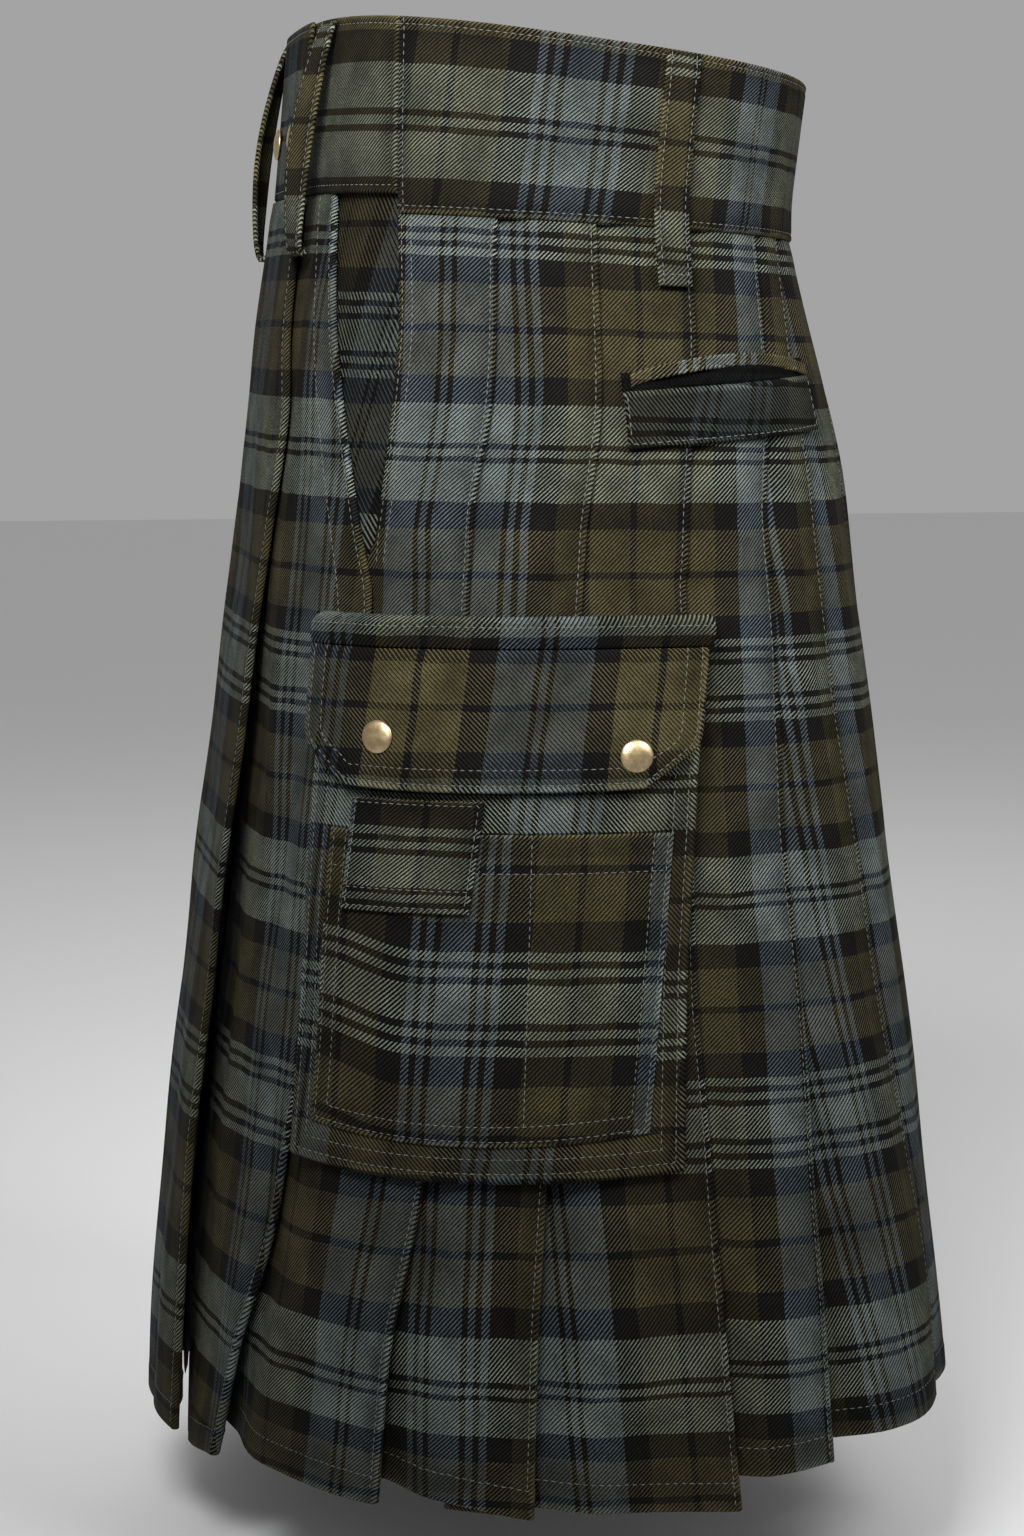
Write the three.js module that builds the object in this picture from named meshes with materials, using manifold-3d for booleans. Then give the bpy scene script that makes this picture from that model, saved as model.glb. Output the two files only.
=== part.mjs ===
// A utility kilt: a pleated tartan skirt on a tall waistband, with cargo pockets.
// Millimetres, +Z up, front toward -Y, the wearer's left toward +X.
// The origin is the middle of the waist opening, halfway up the front of the waistband.

import * as THREE from 'three';
import Module from 'manifold-3d';
import { mergeVertices } from 'three/addons/utils/BufferGeometryUtils.js';

const wasm = await Module();
wasm.setup();

// Driving sizes
const cloth = 1.5; // one layer of twill
const seamGap = 0.3; // room between sewn pieces
const bandTop = 32; // top of the waistband on the level scale
const bandBottom = -46; // side and back lower seam of the waistband
const frontBandBottom = -38; // the front pieces stop a little higher
const bandWall = 3.0; // doubled and interlined cloth
// The joint of the front and side waistband pieces, as a share of the girth.
const sideSeam = [
  { level: 32, share: 0.1461 },
  { level: -46, share: 0.1568 },
];
const apronHem = -590;

// The body of the kilt at eleven levels: half depth front to back, half width side to side,
// how far back the middle lies, and how square the front and the back are (2 is an ellipse).
const bodyRings = [
  { level: 45, depth: 110.5, width: 148, middle: 17, front: 3.0, back: 2.6, tilt: -0.14 },
  { level: -40, depth: 109.2, width: 152.5, middle: 7.2, front: 3.0, back: 2.6, tilt: -0.055 },
  { level: -100, depth: 121.5, width: 160.5, middle: 10.5, front: 3.0, back: 2.63, tilt: -0.03 },
  { level: -150, depth: 129.8, width: 167, middle: 13.2, front: 3.0, back: 2.7, tilt: -0.015 },
  { level: -220, depth: 136.4, width: 175, middle: 13.6, front: 2.96, back: 2.8, tilt: 0 },
  { level: -290, depth: 143.2, width: 183, middle: 14.8, front: 2.83, back: 2.9, tilt: 0 },
  { level: -360, depth: 151, width: 191, middle: 15, front: 2.69, back: 2.98, tilt: 0 },
  { level: -430, depth: 159.5, width: 199, middle: 15, front: 2.56, back: 3.05, tilt: 0 },
  { level: -505, depth: 167, width: 207, middle: 14.5, front: 2.41, back: 3.08, tilt: 0 },
  { level: -590, depth: 171.5, width: 214, middle: 13.5, front: 2.25, back: 3.1, tilt: 0 },
  { level: -620, depth: 172.5, width: 216, middle: 13.5, front: 2.25, back: 3.1, tilt: 0 },
];

// Where each fold edge of the pleats runs, as a share of the girth from the centre front.
// side is the pocket and fold edge of the side-front panel, the rest are the skirt's pleats.
const foldLines = [
  { level: -38, side: 0.1033, one: 0.2067, two: 0.254, three: 0.3014, four: 0.3462,
    five: 0.372, six: 0.414, seven: 0.457 },
  { level: -94, side: 0.113, one: 0.2043, two: 0.2517, three: 0.2974, four: 0.3369,
    five: 0.358, six: 0.404, seven: 0.451 },
  { level: -123, side: 0.123, one: 0.2021, two: 0.2498, three: 0.2916, four: 0.3296,
    five: 0.3535, six: 0.4, seven: 0.449 },
  { level: -164, side: 0.1358, one: 0.1928, two: 0.2412, three: 0.2844, four: 0.3238,
    five: 0.3518, six: 0.3985, seven: 0.4478 },
  { level: -206, side: 0.1471, one: 0.1905, two: 0.2369, three: 0.2809, four: 0.3209,
    five: 0.3522, six: 0.3995, seven: 0.4488 },
  { level: -250, side: 0.1439, one: 0.1897, two: 0.2336, three: 0.2789, four: 0.3188,
    five: 0.3525, six: 0.4005, seven: 0.45 },
  { level: -304, side: 0.1376, one: 0.1878, two: 0.2294, three: 0.276, four: 0.3166,
    five: 0.3554, six: 0.405, seven: 0.4545 },
  { level: -375, side: 0.1226, one: 0.1806, two: 0.2229, three: 0.2739, four: 0.3153,
    five: 0.36, six: 0.4105, seven: 0.4605 },
  { level: -448, side: 0.1091, one: 0.1734, two: 0.2165, three: 0.276, four: 0.3135,
    five: 0.368, six: 0.419, seven: 0.469 },
  { level: -514, side: 0.0925, one: 0.1632, two: 0.2126, three: 0.2774, four: 0.3137,
    five: 0.377, six: 0.428, seven: 0.477 },
  { level: -590, side: 0.0682, one: 0.1572, two: 0.2104, three: 0.2796, four: 0.3151,
    five: 0.385, six: 0.436, seven: 0.485 },
];
const pleatNames = ['one', 'two', 'three', 'four', 'five', 'six', 'seven'];

// The lower edge of each panel, front end and back end of what shows.
const hemLevels = {
  side: { fore: -600, aft: -592 },
  one: { fore: -582, aft: -586 },
  two: { fore: -578, aft: -587 },
  three: { fore: -585, aft: -587 },
  four: { fore: -575, aft: -572 },
  five: { fore: -565, aft: -563 },
  six: { fore: -562, aft: -562 },
  seven: { fore: -562, aft: -562 },
};

// The free front edge of the first pleated panel, behind the slanted pocket.
const pocketBackEdge = [
  { level: -38, share: 0.1562 },
  { level: -94, share: 0.1599 },
  { level: -134, share: 0.1556 },
  { level: -180, share: 0.148 },
  { level: -206, share: 0.144 },
];

// How the front apron hangs: half its breadth along the cloth, and how far it stands forward.
const apronEdge = [
  { level: -38, half: 50, out: 4 },
  { level: -95, half: 61, out: 4 },
  { level: -130, half: 67, out: 4 },
  { level: -160, half: 68, out: 4 },
  { level: -200, half: 64, out: 4.5 },
  { level: -245, half: 60, out: 8 },
  { level: -290, half: 58, out: 10 },
  { level: -340, half: 56, out: 12 },
  { level: -400, half: 54, out: 12.5 },
  { level: -590, half: 50, out: 12 },
];

// Spacing of the three layers of a pleat, how far a fold edge lifts and how deep it turns under.
const pleatSpread = [
  { level: -38, pitch: 1.95, lift: 0, depthShare: 0.52 },
  { level: -220, pitch: 1.95, lift: 0, depthShare: 0.52 },
  { level: -450, pitch: 2.3, lift: 0, depthShare: 0.55 },
  { level: -590, pitch: 3.6, lift: 4.5, depthShare: 0.58 },
];

const pleatLevels = [-46.3, -70, -94, -122, -150, -178, -250, -320, -385, -450, -500, -545];
// The first pleated panel sinks under the side-front panel between these two levels.
const sinking = { start: -150, end: -178 };

const colours = {
  skirt: 0x42423c,
  apron: 0x4a4a3c,
  band: 0x55553f,
  pocket: 0x4d4b3c,
  facing: 0x3a3a34,
  brass: 0xb9a077,
};

// Tables and the body's skin

function lookUp(rows, level, name) {
  if (level >= rows[0].level) return rows[0][name];
  for (let i = 1; i < rows.length; i++) {
    const high = rows[i - 1];
    const low = rows[i];
    if (level >= low.level) {
      const t = (high.level - level) / (high.level - low.level);
      return high[name] + (low[name] - high[name]) * t;
    }
  }
  return rows[rows.length - 1][name];
}

const ringSteps = 720;
const ringCache = new Map();

// One level of the body as points round the girth with the length walked to each.
function ringAt(level) {
  const key = level.toFixed(3);
  if (ringCache.has(key)) return ringCache.get(key);
  const ring = { x: [], y: [], walked: [0], length: 0 };
  const size = {};
  for (const name of ['depth', 'width', 'middle', 'front', 'back']) size[name] = lookUp(bodyRings, level, name);
  for (let i = 0; i <= ringSteps; i++) {
    const turn = (2 * Math.PI * i) / ringSteps;
    const ahead = Math.cos(turn);
    const aside = Math.sin(turn);
    const power = ahead > 0 ? size.front : size.back;
    const sum = Math.abs(aside / size.width) ** power + Math.abs(ahead / size.depth) ** power;
    const reach = sum ** (-1 / power);
    ring.x.push(reach * aside);
    ring.y.push(size.middle - reach * ahead);
    if (i > 0) {
      ring.length += Math.hypot(ring.x[i] - ring.x[i - 1], ring.y[i] - ring.y[i - 1]);
      ring.walked.push(ring.length);
    }
  }
  ringCache.set(key, ring);
  return ring;
}

function girth(level) {
  return ringAt(level).length;
}

function onRing(ring, walk) {
  const around = ((walk % ring.length) + ring.length) % ring.length;
  let low = 0;
  let high = ringSteps;
  while (high - low > 1) {
    const half = (low + high) >> 1;
    if (ring.walked[half] <= around) low = half;
    else high = half;
  }
  const t = (around - ring.walked[low]) / (ring.walked[high] - ring.walked[low]);
  return [ring.x[low] + (ring.x[high] - ring.x[low]) * t, ring.y[low] + (ring.y[high] - ring.y[low]) * t];
}

// A point of the skin: walk is the length along the cloth from the centre front toward the
// wearer's left, out is the distance off the skin.
function skinPoint(walk, level, out) {
  const ring = ringAt(level);
  const reach = 1.5;
  const [x, y] = onRing(ring, walk);
  const [x1, y1] = onRing(ring, walk - reach);
  const [x2, y2] = onRing(ring, walk + reach);
  const long = Math.hypot(x2 - x1, y2 - y1);
  const lean = lookUp(bodyRings, level, 'tilt');
  return new THREE.Vector3(
    x + (out * (y2 - y1)) / long,
    y - (out * (x2 - x1)) / long,
    level + lean * y,
  );
}

// Closed walls

function meshGeometry(points, triangles) {
  const geometry = new THREE.BufferGeometry();
  const flat = new Float32Array(points.length * 3);
  points.forEach((p, i) => flat.set([p.x, p.y, p.z], i * 3));
  geometry.setAttribute('position', new THREE.BufferAttribute(flat, 3));
  let volume = 0;
  for (const [a, b, c] of triangles) {
    volume += points[a].dot(new THREE.Vector3().crossVectors(points[b], points[c]));
  }
  const order = volume < 0 ? triangles.map(([a, b, c]) => [a, c, b]) : triangles;
  geometry.setIndex(order.flat());
  geometry.computeVertexNormals();
  return geometry;
}

// A closed wall from two grids of points with the same rows and columns.
function wall(outer, inner) {
  const rows = outer.length;
  const columns = outer[0].length;
  const points = [...outer.flat(), ...inner.flat()];
  const triangles = [];
  const at = (side, row, column) => side * rows * columns + row * columns + column;
  const quad = (a, b, c, d) => triangles.push([a, b, c], [a, c, d]);
  for (let r = 0; r + 1 < rows; r++) {
    for (let c = 0; c + 1 < columns; c++) {
      quad(at(0, r, c), at(0, r + 1, c), at(0, r + 1, c + 1), at(0, r, c + 1));
      quad(at(1, r, c), at(1, r, c + 1), at(1, r + 1, c + 1), at(1, r + 1, c));
    }
    quad(at(0, r, 0), at(1, r, 0), at(1, r + 1, 0), at(0, r + 1, 0));
    const last = columns - 1;
    quad(at(0, r, last), at(0, r + 1, last), at(1, r + 1, last), at(1, r, last));
  }
  for (let c = 0; c + 1 < columns; c++) {
    quad(at(0, 0, c), at(0, 0, c + 1), at(1, 0, c + 1), at(1, 0, c));
    const end = rows - 1;
    quad(at(0, end, c), at(1, end, c), at(1, end, c + 1), at(0, end, c + 1));
  }
  return meshGeometry(points, triangles);
}

// A panel that lies on the skin. edges(t) gives the level and the two side walks at height t,
// from 0 at the top to 1 at the bottom, and out(t, s) how far off the skin its middle lies.
function panel({ rows, columns, edges, out, thickness, bow = 0 }) {
  const outer = [];
  const inner = [];
  for (let r = 0; r <= rows; r++) {
    const t = r / rows;
    const { level, from, to } = edges(t);
    const lineOut = [];
    const lineIn = [];
    for (let c = 0; c <= columns; c++) {
      const s = c / columns;
      const sag = bow * 4 * s * (1 - s) * t;
      const middle = out(t, s);
      const walk = from + (to - from) * s;
      lineOut.push(skinPoint(walk, level - sag, middle + thickness / 2));
      lineIn.push(skinPoint(walk, level - sag, middle - thickness / 2));
    }
    outer.push(lineOut);
    inner.push(lineIn);
  }
  return wall(outer, inner);
}

// Both sides of a line of [walk, out] points, moved half a wall each way.
function thicken(line, thickness) {
  const near = [];
  const far = [];
  for (let i = 0; i < line.length; i++) {
    const before = line[Math.max(i - 1, 0)];
    const after = line[Math.min(i + 1, line.length - 1)];
    const one = unit(line[i][0] - before[0], line[i][1] - before[1]);
    const two = unit(after[0] - line[i][0], after[1] - line[i][1]);
    const first = i === 0 ? two : one;
    const second = i === line.length - 1 ? one : two;
    const sum = unit(first[0] + second[0], first[1] + second[1]);
    const stretch = 1 / Math.max(0.6, sum[0] * first[0] + sum[1] * first[1]);
    const shift = (thickness / 2) * stretch;
    near.push([line[i][0] - sum[1] * shift, line[i][1] + sum[0] * shift]);
    far.push([line[i][0] + sum[1] * shift, line[i][1] - sum[0] * shift]);
  }
  return { near, far };
}

function unit(x, y) {
  const long = Math.hypot(x, y) || 1;
  return [x / long, y / long];
}

// Pleats

function foldWalk(name, level) {
  return lookUp(foldLines, level, name) * girth(level);
}

// The free front edge of the first pleated panel, then the fold edge that covers it.
function pocketEdgeWalk(level) {
  return Math.max(lookUp(pocketBackEdge, level, 'share') * girth(level) * (level > sinking.end ? 1 : 0),
    foldWalk('side', level));
}

function pleatDepth(index, level) {
  const before = index === 0 ? pocketEdgeWalk(level) : foldWalk(pleatNames[index - 1], level);
  return (foldWalk(pleatNames[index], level) - before) * lookUp(pleatSpread, level, 'depthShare');
}

// One folded panel at one level: up from under the fold before it, across to its own fold
// edge, and back underneath by the depth of the pleat.
function foldedLine(level, start, startOut, shadow, edge, depth) {
  const pitch = lookUp(pleatSpread, level, 'pitch');
  const lift = lookUp(pleatSpread, level, 'lift');
  const open = edge - depth - shadow;
  return [
    [start, startOut],
    [shadow - 2, startOut],
    [shadow + open * 0.35, startOut * 0.55],
    [shadow + open * 0.8, startOut * 0.06],
    [edge - depth + 3, lift * 0.25],
    [edge - depth * 0.4, lift * 0.7],
    [edge - 1.5, lift],
    [edge, lift - pitch * 0.28],
    [edge, lift - pitch * 0.72],
    [edge - 1.5, lift - pitch],
    [edge - depth * 0.4, lift * 0.7 - pitch],
    [edge - depth, lift * 0.2 - pitch],
  ];
}

function foldedPanel(name, lineAt, topLevel, hemLevel) {
  const levels = pleatLevels.map((level) => Math.min(level, topLevel));
  const outer = [];
  const inner = [];
  for (const level of [...levels, null]) {
    const nominal = level === null ? hemLevel.aft : level;
    const line = lineAt(nominal);
    const { near, far } = thicken(line, cloth);
    const front = line[1][0];
    const back = line[6][0];
    const place = ([walk, out]) => {
      if (level !== null) return skinPoint(walk, level, out);
      const share = THREE.MathUtils.clamp((walk - front) / (back - front), 0, 1);
      return skinPoint(walk, THREE.MathUtils.lerp(hemLevel.fore, hemLevel.aft, share), out);
    };
    outer.push(near.map(place));
    inner.push(far.map(place));
  }
  return wall(outer, inner);
}

function pleatLine(index, level) {
  const pitch = lookUp(pleatSpread, level, 'pitch');
  const edge = foldWalk(pleatNames[index], level);
  const depth = pleatDepth(index, level);
  if (index > 0) {
    const shadow = foldWalk(pleatNames[index - 1], level);
    return foldedLine(level, shadow - pleatDepth(index - 1, level), -2 * pitch, shadow, edge, depth);
  }
  const shadow = pocketEdgeWalk(level);
  const sunk = THREE.MathUtils.clamp((sinking.start - level) / (sinking.start - sinking.end), 0, 1);
  const start = shadow - (level > sinking.end ? 0 : sideReturn(level));
  return foldedLine(level, start, (-2 * pitch - seamGap) * sunk, Math.max(shadow, start + 5), edge, depth);
}

function sideReturn(level) {
  return THREE.MathUtils.mapLinear(THREE.MathUtils.clamp(level, -450, -206), -206, -450, 6, 40);
}

// The side-front panel: from under the apron to the slanted pocket and the first fold.
function sideLine(level) {
  const pitch = lookUp(pleatSpread, level, 'pitch');
  const edge = foldWalk('side', level);
  const start = 22;
  return foldedLine(level, start, -0.6 * pitch, start + 12, edge, Math.min(sideReturn(level), edge - 45));
}

// The apron: a flat cloth whose two upright edges are pressed and turned under.
function apronPanel() {
  const rows = 9;
  const outer = [];
  const inner = [];
  const turned = 16;
  const pitch = 1.95;
  for (let r = 0; r <= rows; r++) {
    const level = THREE.MathUtils.lerp(frontBandBottom - seamGap, apronHem, r / rows);
    const half = lookUp(apronEdge, level, 'half');
    const out = lookUp(apronEdge, level, 'out');
    const right = [
      [-half + turned, out - pitch],
      [-half + 1.5, out - pitch],
      [-half, out - pitch * 0.7],
      [-half, out - pitch * 0.3],
      [-half + 1.5, out],
      [-half * 0.5, out],
    ];
    const left = right.map(([walk, off]) => [-walk, off]).reverse();
    const { near, far } = thicken([...right, [0, out], ...left], cloth);
    outer.push(near.map(([walk, off]) => skinPoint(walk, level, off)));
    inner.push(far.map(([walk, off]) => skinPoint(walk, level, off)));
  }
  return wall(outer, inner);
}

// Belt loops

// A strap that follows a path of [level, out] points, with the same breadth all along.
function strap(walkAt, breadth, path, thickness) {
  const { near, far } = thicken(path, thickness);
  const across = [-breadth / 2, 0, breadth / 2];
  const place = (side, i) => across.map((offset) =>
    skinPoint(walkAt(path[i][0]) + offset, side[i][0], side[i][1]));
  return wall(near.map((_, i) => place(near, i)), far.map((_, i) => place(far, i)));
}

// Snaps

function snapCap(radius, height) {
  const profile = [
    [0, 0],
    [radius * 0.82, 0],
    [radius, height * 0.28],
    [radius * 0.93, height * 0.62],
    [radius * 0.62, height * 0.9],
    [0, height],
  ].map(([x, y]) => new THREE.Vector2(x, y));
  return new THREE.LatheGeometry(profile, 20);
}

function snapOn(walk, level, out, radius, height) {
  const foot = skinPoint(walk, level, out);
  const along = skinPoint(walk + 3, level, out).sub(skinPoint(walk - 3, level, out));
  const up = skinPoint(walk, level + 3, out).sub(skinPoint(walk, level - 3, out));
  const outward = along.cross(up).normalize();
  const geometry = snapCap(radius, height);
  const turn = new THREE.Quaternion().setFromUnitVectors(
    new THREE.Vector3(0, 1, 0), outward);
  geometry.applyQuaternion(turn);
  geometry.translate(foot.x, foot.y, foot.z);
  return geometry;
}

// Booleans

function toSolid(geometry) {
  const bare = geometry.clone();
  bare.deleteAttribute('normal');
  bare.deleteAttribute('uv');
  const merged = mergeVertices(bare, 1e-4);
  return new wasm.Manifold(new wasm.Mesh({
    numProp: 3,
    vertProperties: merged.attributes.position.array,
    triVerts: new Uint32Array(merged.index.array),
  }));
}

function fromSolid(solid) {
  const mesh = solid.getMesh();
  const geometry = new THREE.BufferGeometry();
  geometry.setAttribute('position', new THREE.BufferAttribute(new Float32Array(mesh.vertProperties), 3));
  geometry.setIndex(new THREE.BufferAttribute(new Uint32Array(mesh.triVerts), 1));
  geometry.computeVertexNormals();
  return geometry;
}

// The cargo pocket

const cargo = {
  top: -224,
  bottom: -442,
  back: 1.6, // clearance of the bag off the skirt
  room: 3.6, // the empty bag's slack
  flapTop: -211,
  flapFoot: -223,
  flapBottom: -281,
  chamfer: 17,
  flapOut: 11.3,
};

const cargoSides = [
  { level: -211, fore: 132.5, aft: 300.5 },
  { level: -281, fore: 135.5, aft: 303 },
  { level: -360, fore: 140, aft: 309 },
  { level: -442, fore: 144.5, aft: 319.5 },
];

function cargoBag() {
  const shell = (inset, top, bottom, middle, thickness) => panel({
    rows: 6,
    columns: 10,
    edges: (t) => {
      const level = THREE.MathUtils.lerp(top, bottom, t);
      return {
        level,
        from: lookUp(cargoSides, level, 'fore') + inset,
        to: lookUp(cargoSides, level, 'aft') - inset,
      };
    },
    out: () => middle,
    thickness,
    bow: 4,
  });
  const full = 2 * cloth + cargo.room;
  const middle = cargo.back + full / 2;
  const body = toSolid(shell(0, cargo.top - seamGap, cargo.bottom, middle, full));
  const room = toSolid(shell(cloth, cargo.top + 5, cargo.bottom + cloth + 1, middle, cargo.room));
  return fromSolid(body.subtract(room));
}

function cargoFlap() {
  const height = cargo.flapFoot - cargo.flapBottom;
  const steps = [0, 0.2, 0.45, 0.7, 0.76, 0.88, 1];
  return panel({
    rows: steps.length - 1,
    columns: 10,
    edges: (t) => {
      const drop = steps[Math.round(t * (steps.length - 1))] * height;
      const level = cargo.flapFoot - seamGap - drop;
      const cut = Math.max(0, drop - (height - cargo.chamfer)) * 1.35;
      return {
        level,
        from: lookUp(cargoSides, level, 'fore') + cut,
        to: lookUp(cargoSides, level, 'aft') - 1 - cut,
      };
    },
    out: () => cargo.flapOut,
    thickness: 2.6,
    bow: 1.5,
  });
}

function cargoFlapBand() {
  return panel({
    rows: 1,
    columns: 10,
    edges: (t) => {
      const level = THREE.MathUtils.lerp(cargo.flapTop, cargo.flapFoot, t);
      return { level, from: lookUp(cargoSides, level, 'fore') - 1, to: lookUp(cargoSides, level, 'aft') + 1 };
    },
    out: (t) => THREE.MathUtils.lerp(2.9, 10.6, t),
    thickness: 3.4,
  });
}

const bagFace = cargo.back + 2 * cloth + cargo.room;

function cargoPatch() {
  const corners = { topFore: 151.5, topAft: 294.5, footFore: 157, footAft: 301.5 };
  return panel({
    rows: 4,
    columns: 8,
    edges: (t) => ({
      level: THREE.MathUtils.lerp(-300, -425, t),
      from: THREE.MathUtils.lerp(corners.topFore, corners.footFore, t),
      to: THREE.MathUtils.lerp(corners.topAft, corners.footAft, t),
    }),
    out: () => bagFace + seamGap + cloth / 2,
    thickness: cloth,
    bow: 5,
  });
}

function cargoTab() {
  return panel({
    rows: 3,
    columns: 4,
    edges: (t) => ({
      level: THREE.MathUtils.lerp(-286, -333, t),
      from: THREE.MathUtils.lerp(161.5, 163.5, t),
      to: 215.5,
    }),
    out: (t) => bagFace + 2 * seamGap + cloth + 1,
    thickness: 2,
  });
}

// Back welts

const welt = { top: -112, foot: -136, fore: 0.261, aft: 0.362, lipTop: -104.5 };

function weltPanel() {
  return panel({
    rows: 2,
    columns: 8,
    edges: (t) => {
      const level = THREE.MathUtils.lerp(welt.top, welt.foot, t);
      return { level, from: welt.fore * girth(level), to: welt.aft * girth(level) };
    },
    out: () => 2.2,
    thickness: 2.2,
  });
}

function weltLip() {
  return panel({
    rows: 2,
    columns: 8,
    edges: (t) => {
      const level = THREE.MathUtils.lerp(welt.lipTop, welt.top + 3, t);
      return { level, from: (welt.fore + 0.012) * girth(level), to: (welt.aft + 0.003) * girth(level) };
    },
    out: (t, s) => 2 + 2.6 * t * Math.sin(Math.PI * s),
    thickness: 1.8,
  });
}

// Waistband

function bandPanel(from, to, bottom, columns, out, thickness) {
  return panel({
    rows: 3,
    columns,
    edges: (t) => {
      const level = THREE.MathUtils.lerp(bandTop, bottom, t);
      return { level, from: from(t, level), to: to(t, level) };
    },
    out: () => out,
    thickness,
  });
}

const sideSeamWalk = (level) => lookUp(sideSeam, level, 'share') * girth(level);
const apronBandHalf = (t) => THREE.MathUtils.lerp(46, 36, t);

// Putting the garment together

const kilt = new THREE.Group();

function addPiece(parent, name, geometry, colour, roughness = 0.9, metalness = 0) {
  const material = new THREE.MeshStandardMaterial({ color: colour, roughness, metalness });
  const mesh = new THREE.Mesh(geometry, material);
  mesh.name = name;
  parent.add(mesh);
}

function addSide(side, turn) {
  const half = new THREE.Group();
  half.scale.x = turn;
  kilt.add(half);

  const bandFront = bandPanel(() => 0.6, (t, level) => sideSeamWalk(level) - seamGap / 2,
    frontBandBottom, 6, 0, bandWall);
  addPiece(half, `band_front_${side}`, bandFront, colours.band);
  const bandSide = bandPanel((t, level) => sideSeamWalk(level) + seamGap / 2,
    (t, level) => girth(level) / 2 - seamGap, bandBottom, 14, 0, bandWall);
  addPiece(half, `band_side_${side}`, bandSide, colours.band);

  const frontPanel = foldedPanel('side', sideLine, frontBandBottom - seamGap, hemLevels.side);
  addPiece(half, `panel_front_${side}`, frontPanel, colours.skirt);
  pleatNames.forEach((name, index) => {
    const pleat = foldedPanel(name, (level) => pleatLine(index, level), pleatLevels[0], hemLevels[name]);
    addPiece(half, `pleat_${side}_${name}`, pleat, colours.skirt);
  });

  const facing = panel({
    rows: 5,
    columns: 4,
    edges: (t) => {
      const level = THREE.MathUtils.lerp(frontBandBottom - seamGap, -163, t);
      return {
        level,
        from: foldWalk('side', level) - 8,
        to: lookUp(pocketBackEdge, level, 'share') * girth(level) + 5,
      };
    },
    out: () => -3.9,
    thickness: cloth,
  });
  addPiece(half, `slash_facing_${side}`, facing, colours.facing);

  addPiece(half, `cargo_bag_${side}`, cargoBag(), colours.pocket);
  addPiece(half, `cargo_patch_${side}`, cargoPatch(), colours.pocket);
  addPiece(half, `cargo_tab_${side}`, cargoTab(), colours.pocket);
  addPiece(half, `cargo_flap_${side}`, cargoFlap(), colours.pocket);
  addPiece(half, `cargo_flap_band_${side}`, cargoFlapBand(), colours.pocket);
  addPiece(half, `welt_${side}`, weltPanel(), colours.facing);
  addPiece(half, `welt_lip_${side}`, weltLip(), colours.skirt);

  const snapSeat = cargo.flapOut + 1.3 + seamGap;
  addPiece(half, `snap_flap_fore_${side}`, snapOn(171, -260, snapSeat, 7.2, 2.6), colours.brass, 0.4, 1);
  addPiece(half, `snap_flap_aft_${side}`, snapOn(274, -267.5, snapSeat, 7.2, 2.6), colours.brass, 0.4, 1);
  addPiece(half, `snap_front_${side}`, snapOn(27, -14, 5, 7.2, 2.2), colours.brass, 0.4, 1);

  const frontLoop = strap((level) => 73 + 0.06 * (level + 10), 15, [
    [31, 3.2], [27, 6], [17, 9.5], [0, 13.5], [-20, 16], [-42, 16.5], [-55, 14.5], [-62, 9.5], [-62, 4.5],
  ], 2.4);
  addPiece(half, `loop_front_${side}`, frontLoop, colours.band);
  const sideLoop = strap((level) => 0.289 * girth(level), 15, [
    [31, 3], [22, 4.6], [0, 5.2], [-40, 5.2], [-62, 4.4], [-71, 3],
  ], 2.4);
  addPiece(half, `loop_side_${side}`, sideLoop, colours.band);
}

addSide('left', 1);
addSide('right', -1);

addPiece(kilt, 'apron_front', apronPanel(), colours.apron);
const underApron = panel({
  rows: 6,
  columns: 8,
  edges: (t) => {
    const level = THREE.MathUtils.lerp(frontBandBottom + 14, -570, t); // tucked up behind the band
    return { level, from: -46, to: 46 };
  },
  out: () => -4.2,
  thickness: cloth,
});
addPiece(kilt, 'apron_under', underApron, colours.skirt);
const apronBand = bandPanel((t) => -apronBandHalf(t), apronBandHalf, frontBandBottom, 8, 3.2, 2.6);
addPiece(kilt, 'band_apron', apronBand, colours.apron);

// The underlay of the centre back, between the last fold edges of the two sides.
const backLevel = (t) => THREE.MathUtils.lerp(pleatLevels[0], hemLevels.seven.aft, t);
const backPanel = panel({
  rows: 8,
  columns: 12,
  edges: (t) => {
    const level = backLevel(t);
    const from = foldWalk('seven', level) - pleatDepth(6, level);
    return { level, from, to: girth(level) - from };
  },
  out: (t) => -seamGap - 2 * lookUp(pleatSpread, backLevel(t), 'pitch'),
  thickness: cloth,
});
addPiece(kilt, 'panel_back', backPanel, colours.skirt);
const backLoop = strap((level) => girth(level) / 2, 15, [
  [31, 3], [22, 4.6], [0, 5.2], [-40, 5.2], [-62, 4.4], [-71, 3],
], 2.4);
addPiece(kilt, 'loop_back', backLoop, colours.band);

export default kilt;
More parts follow.
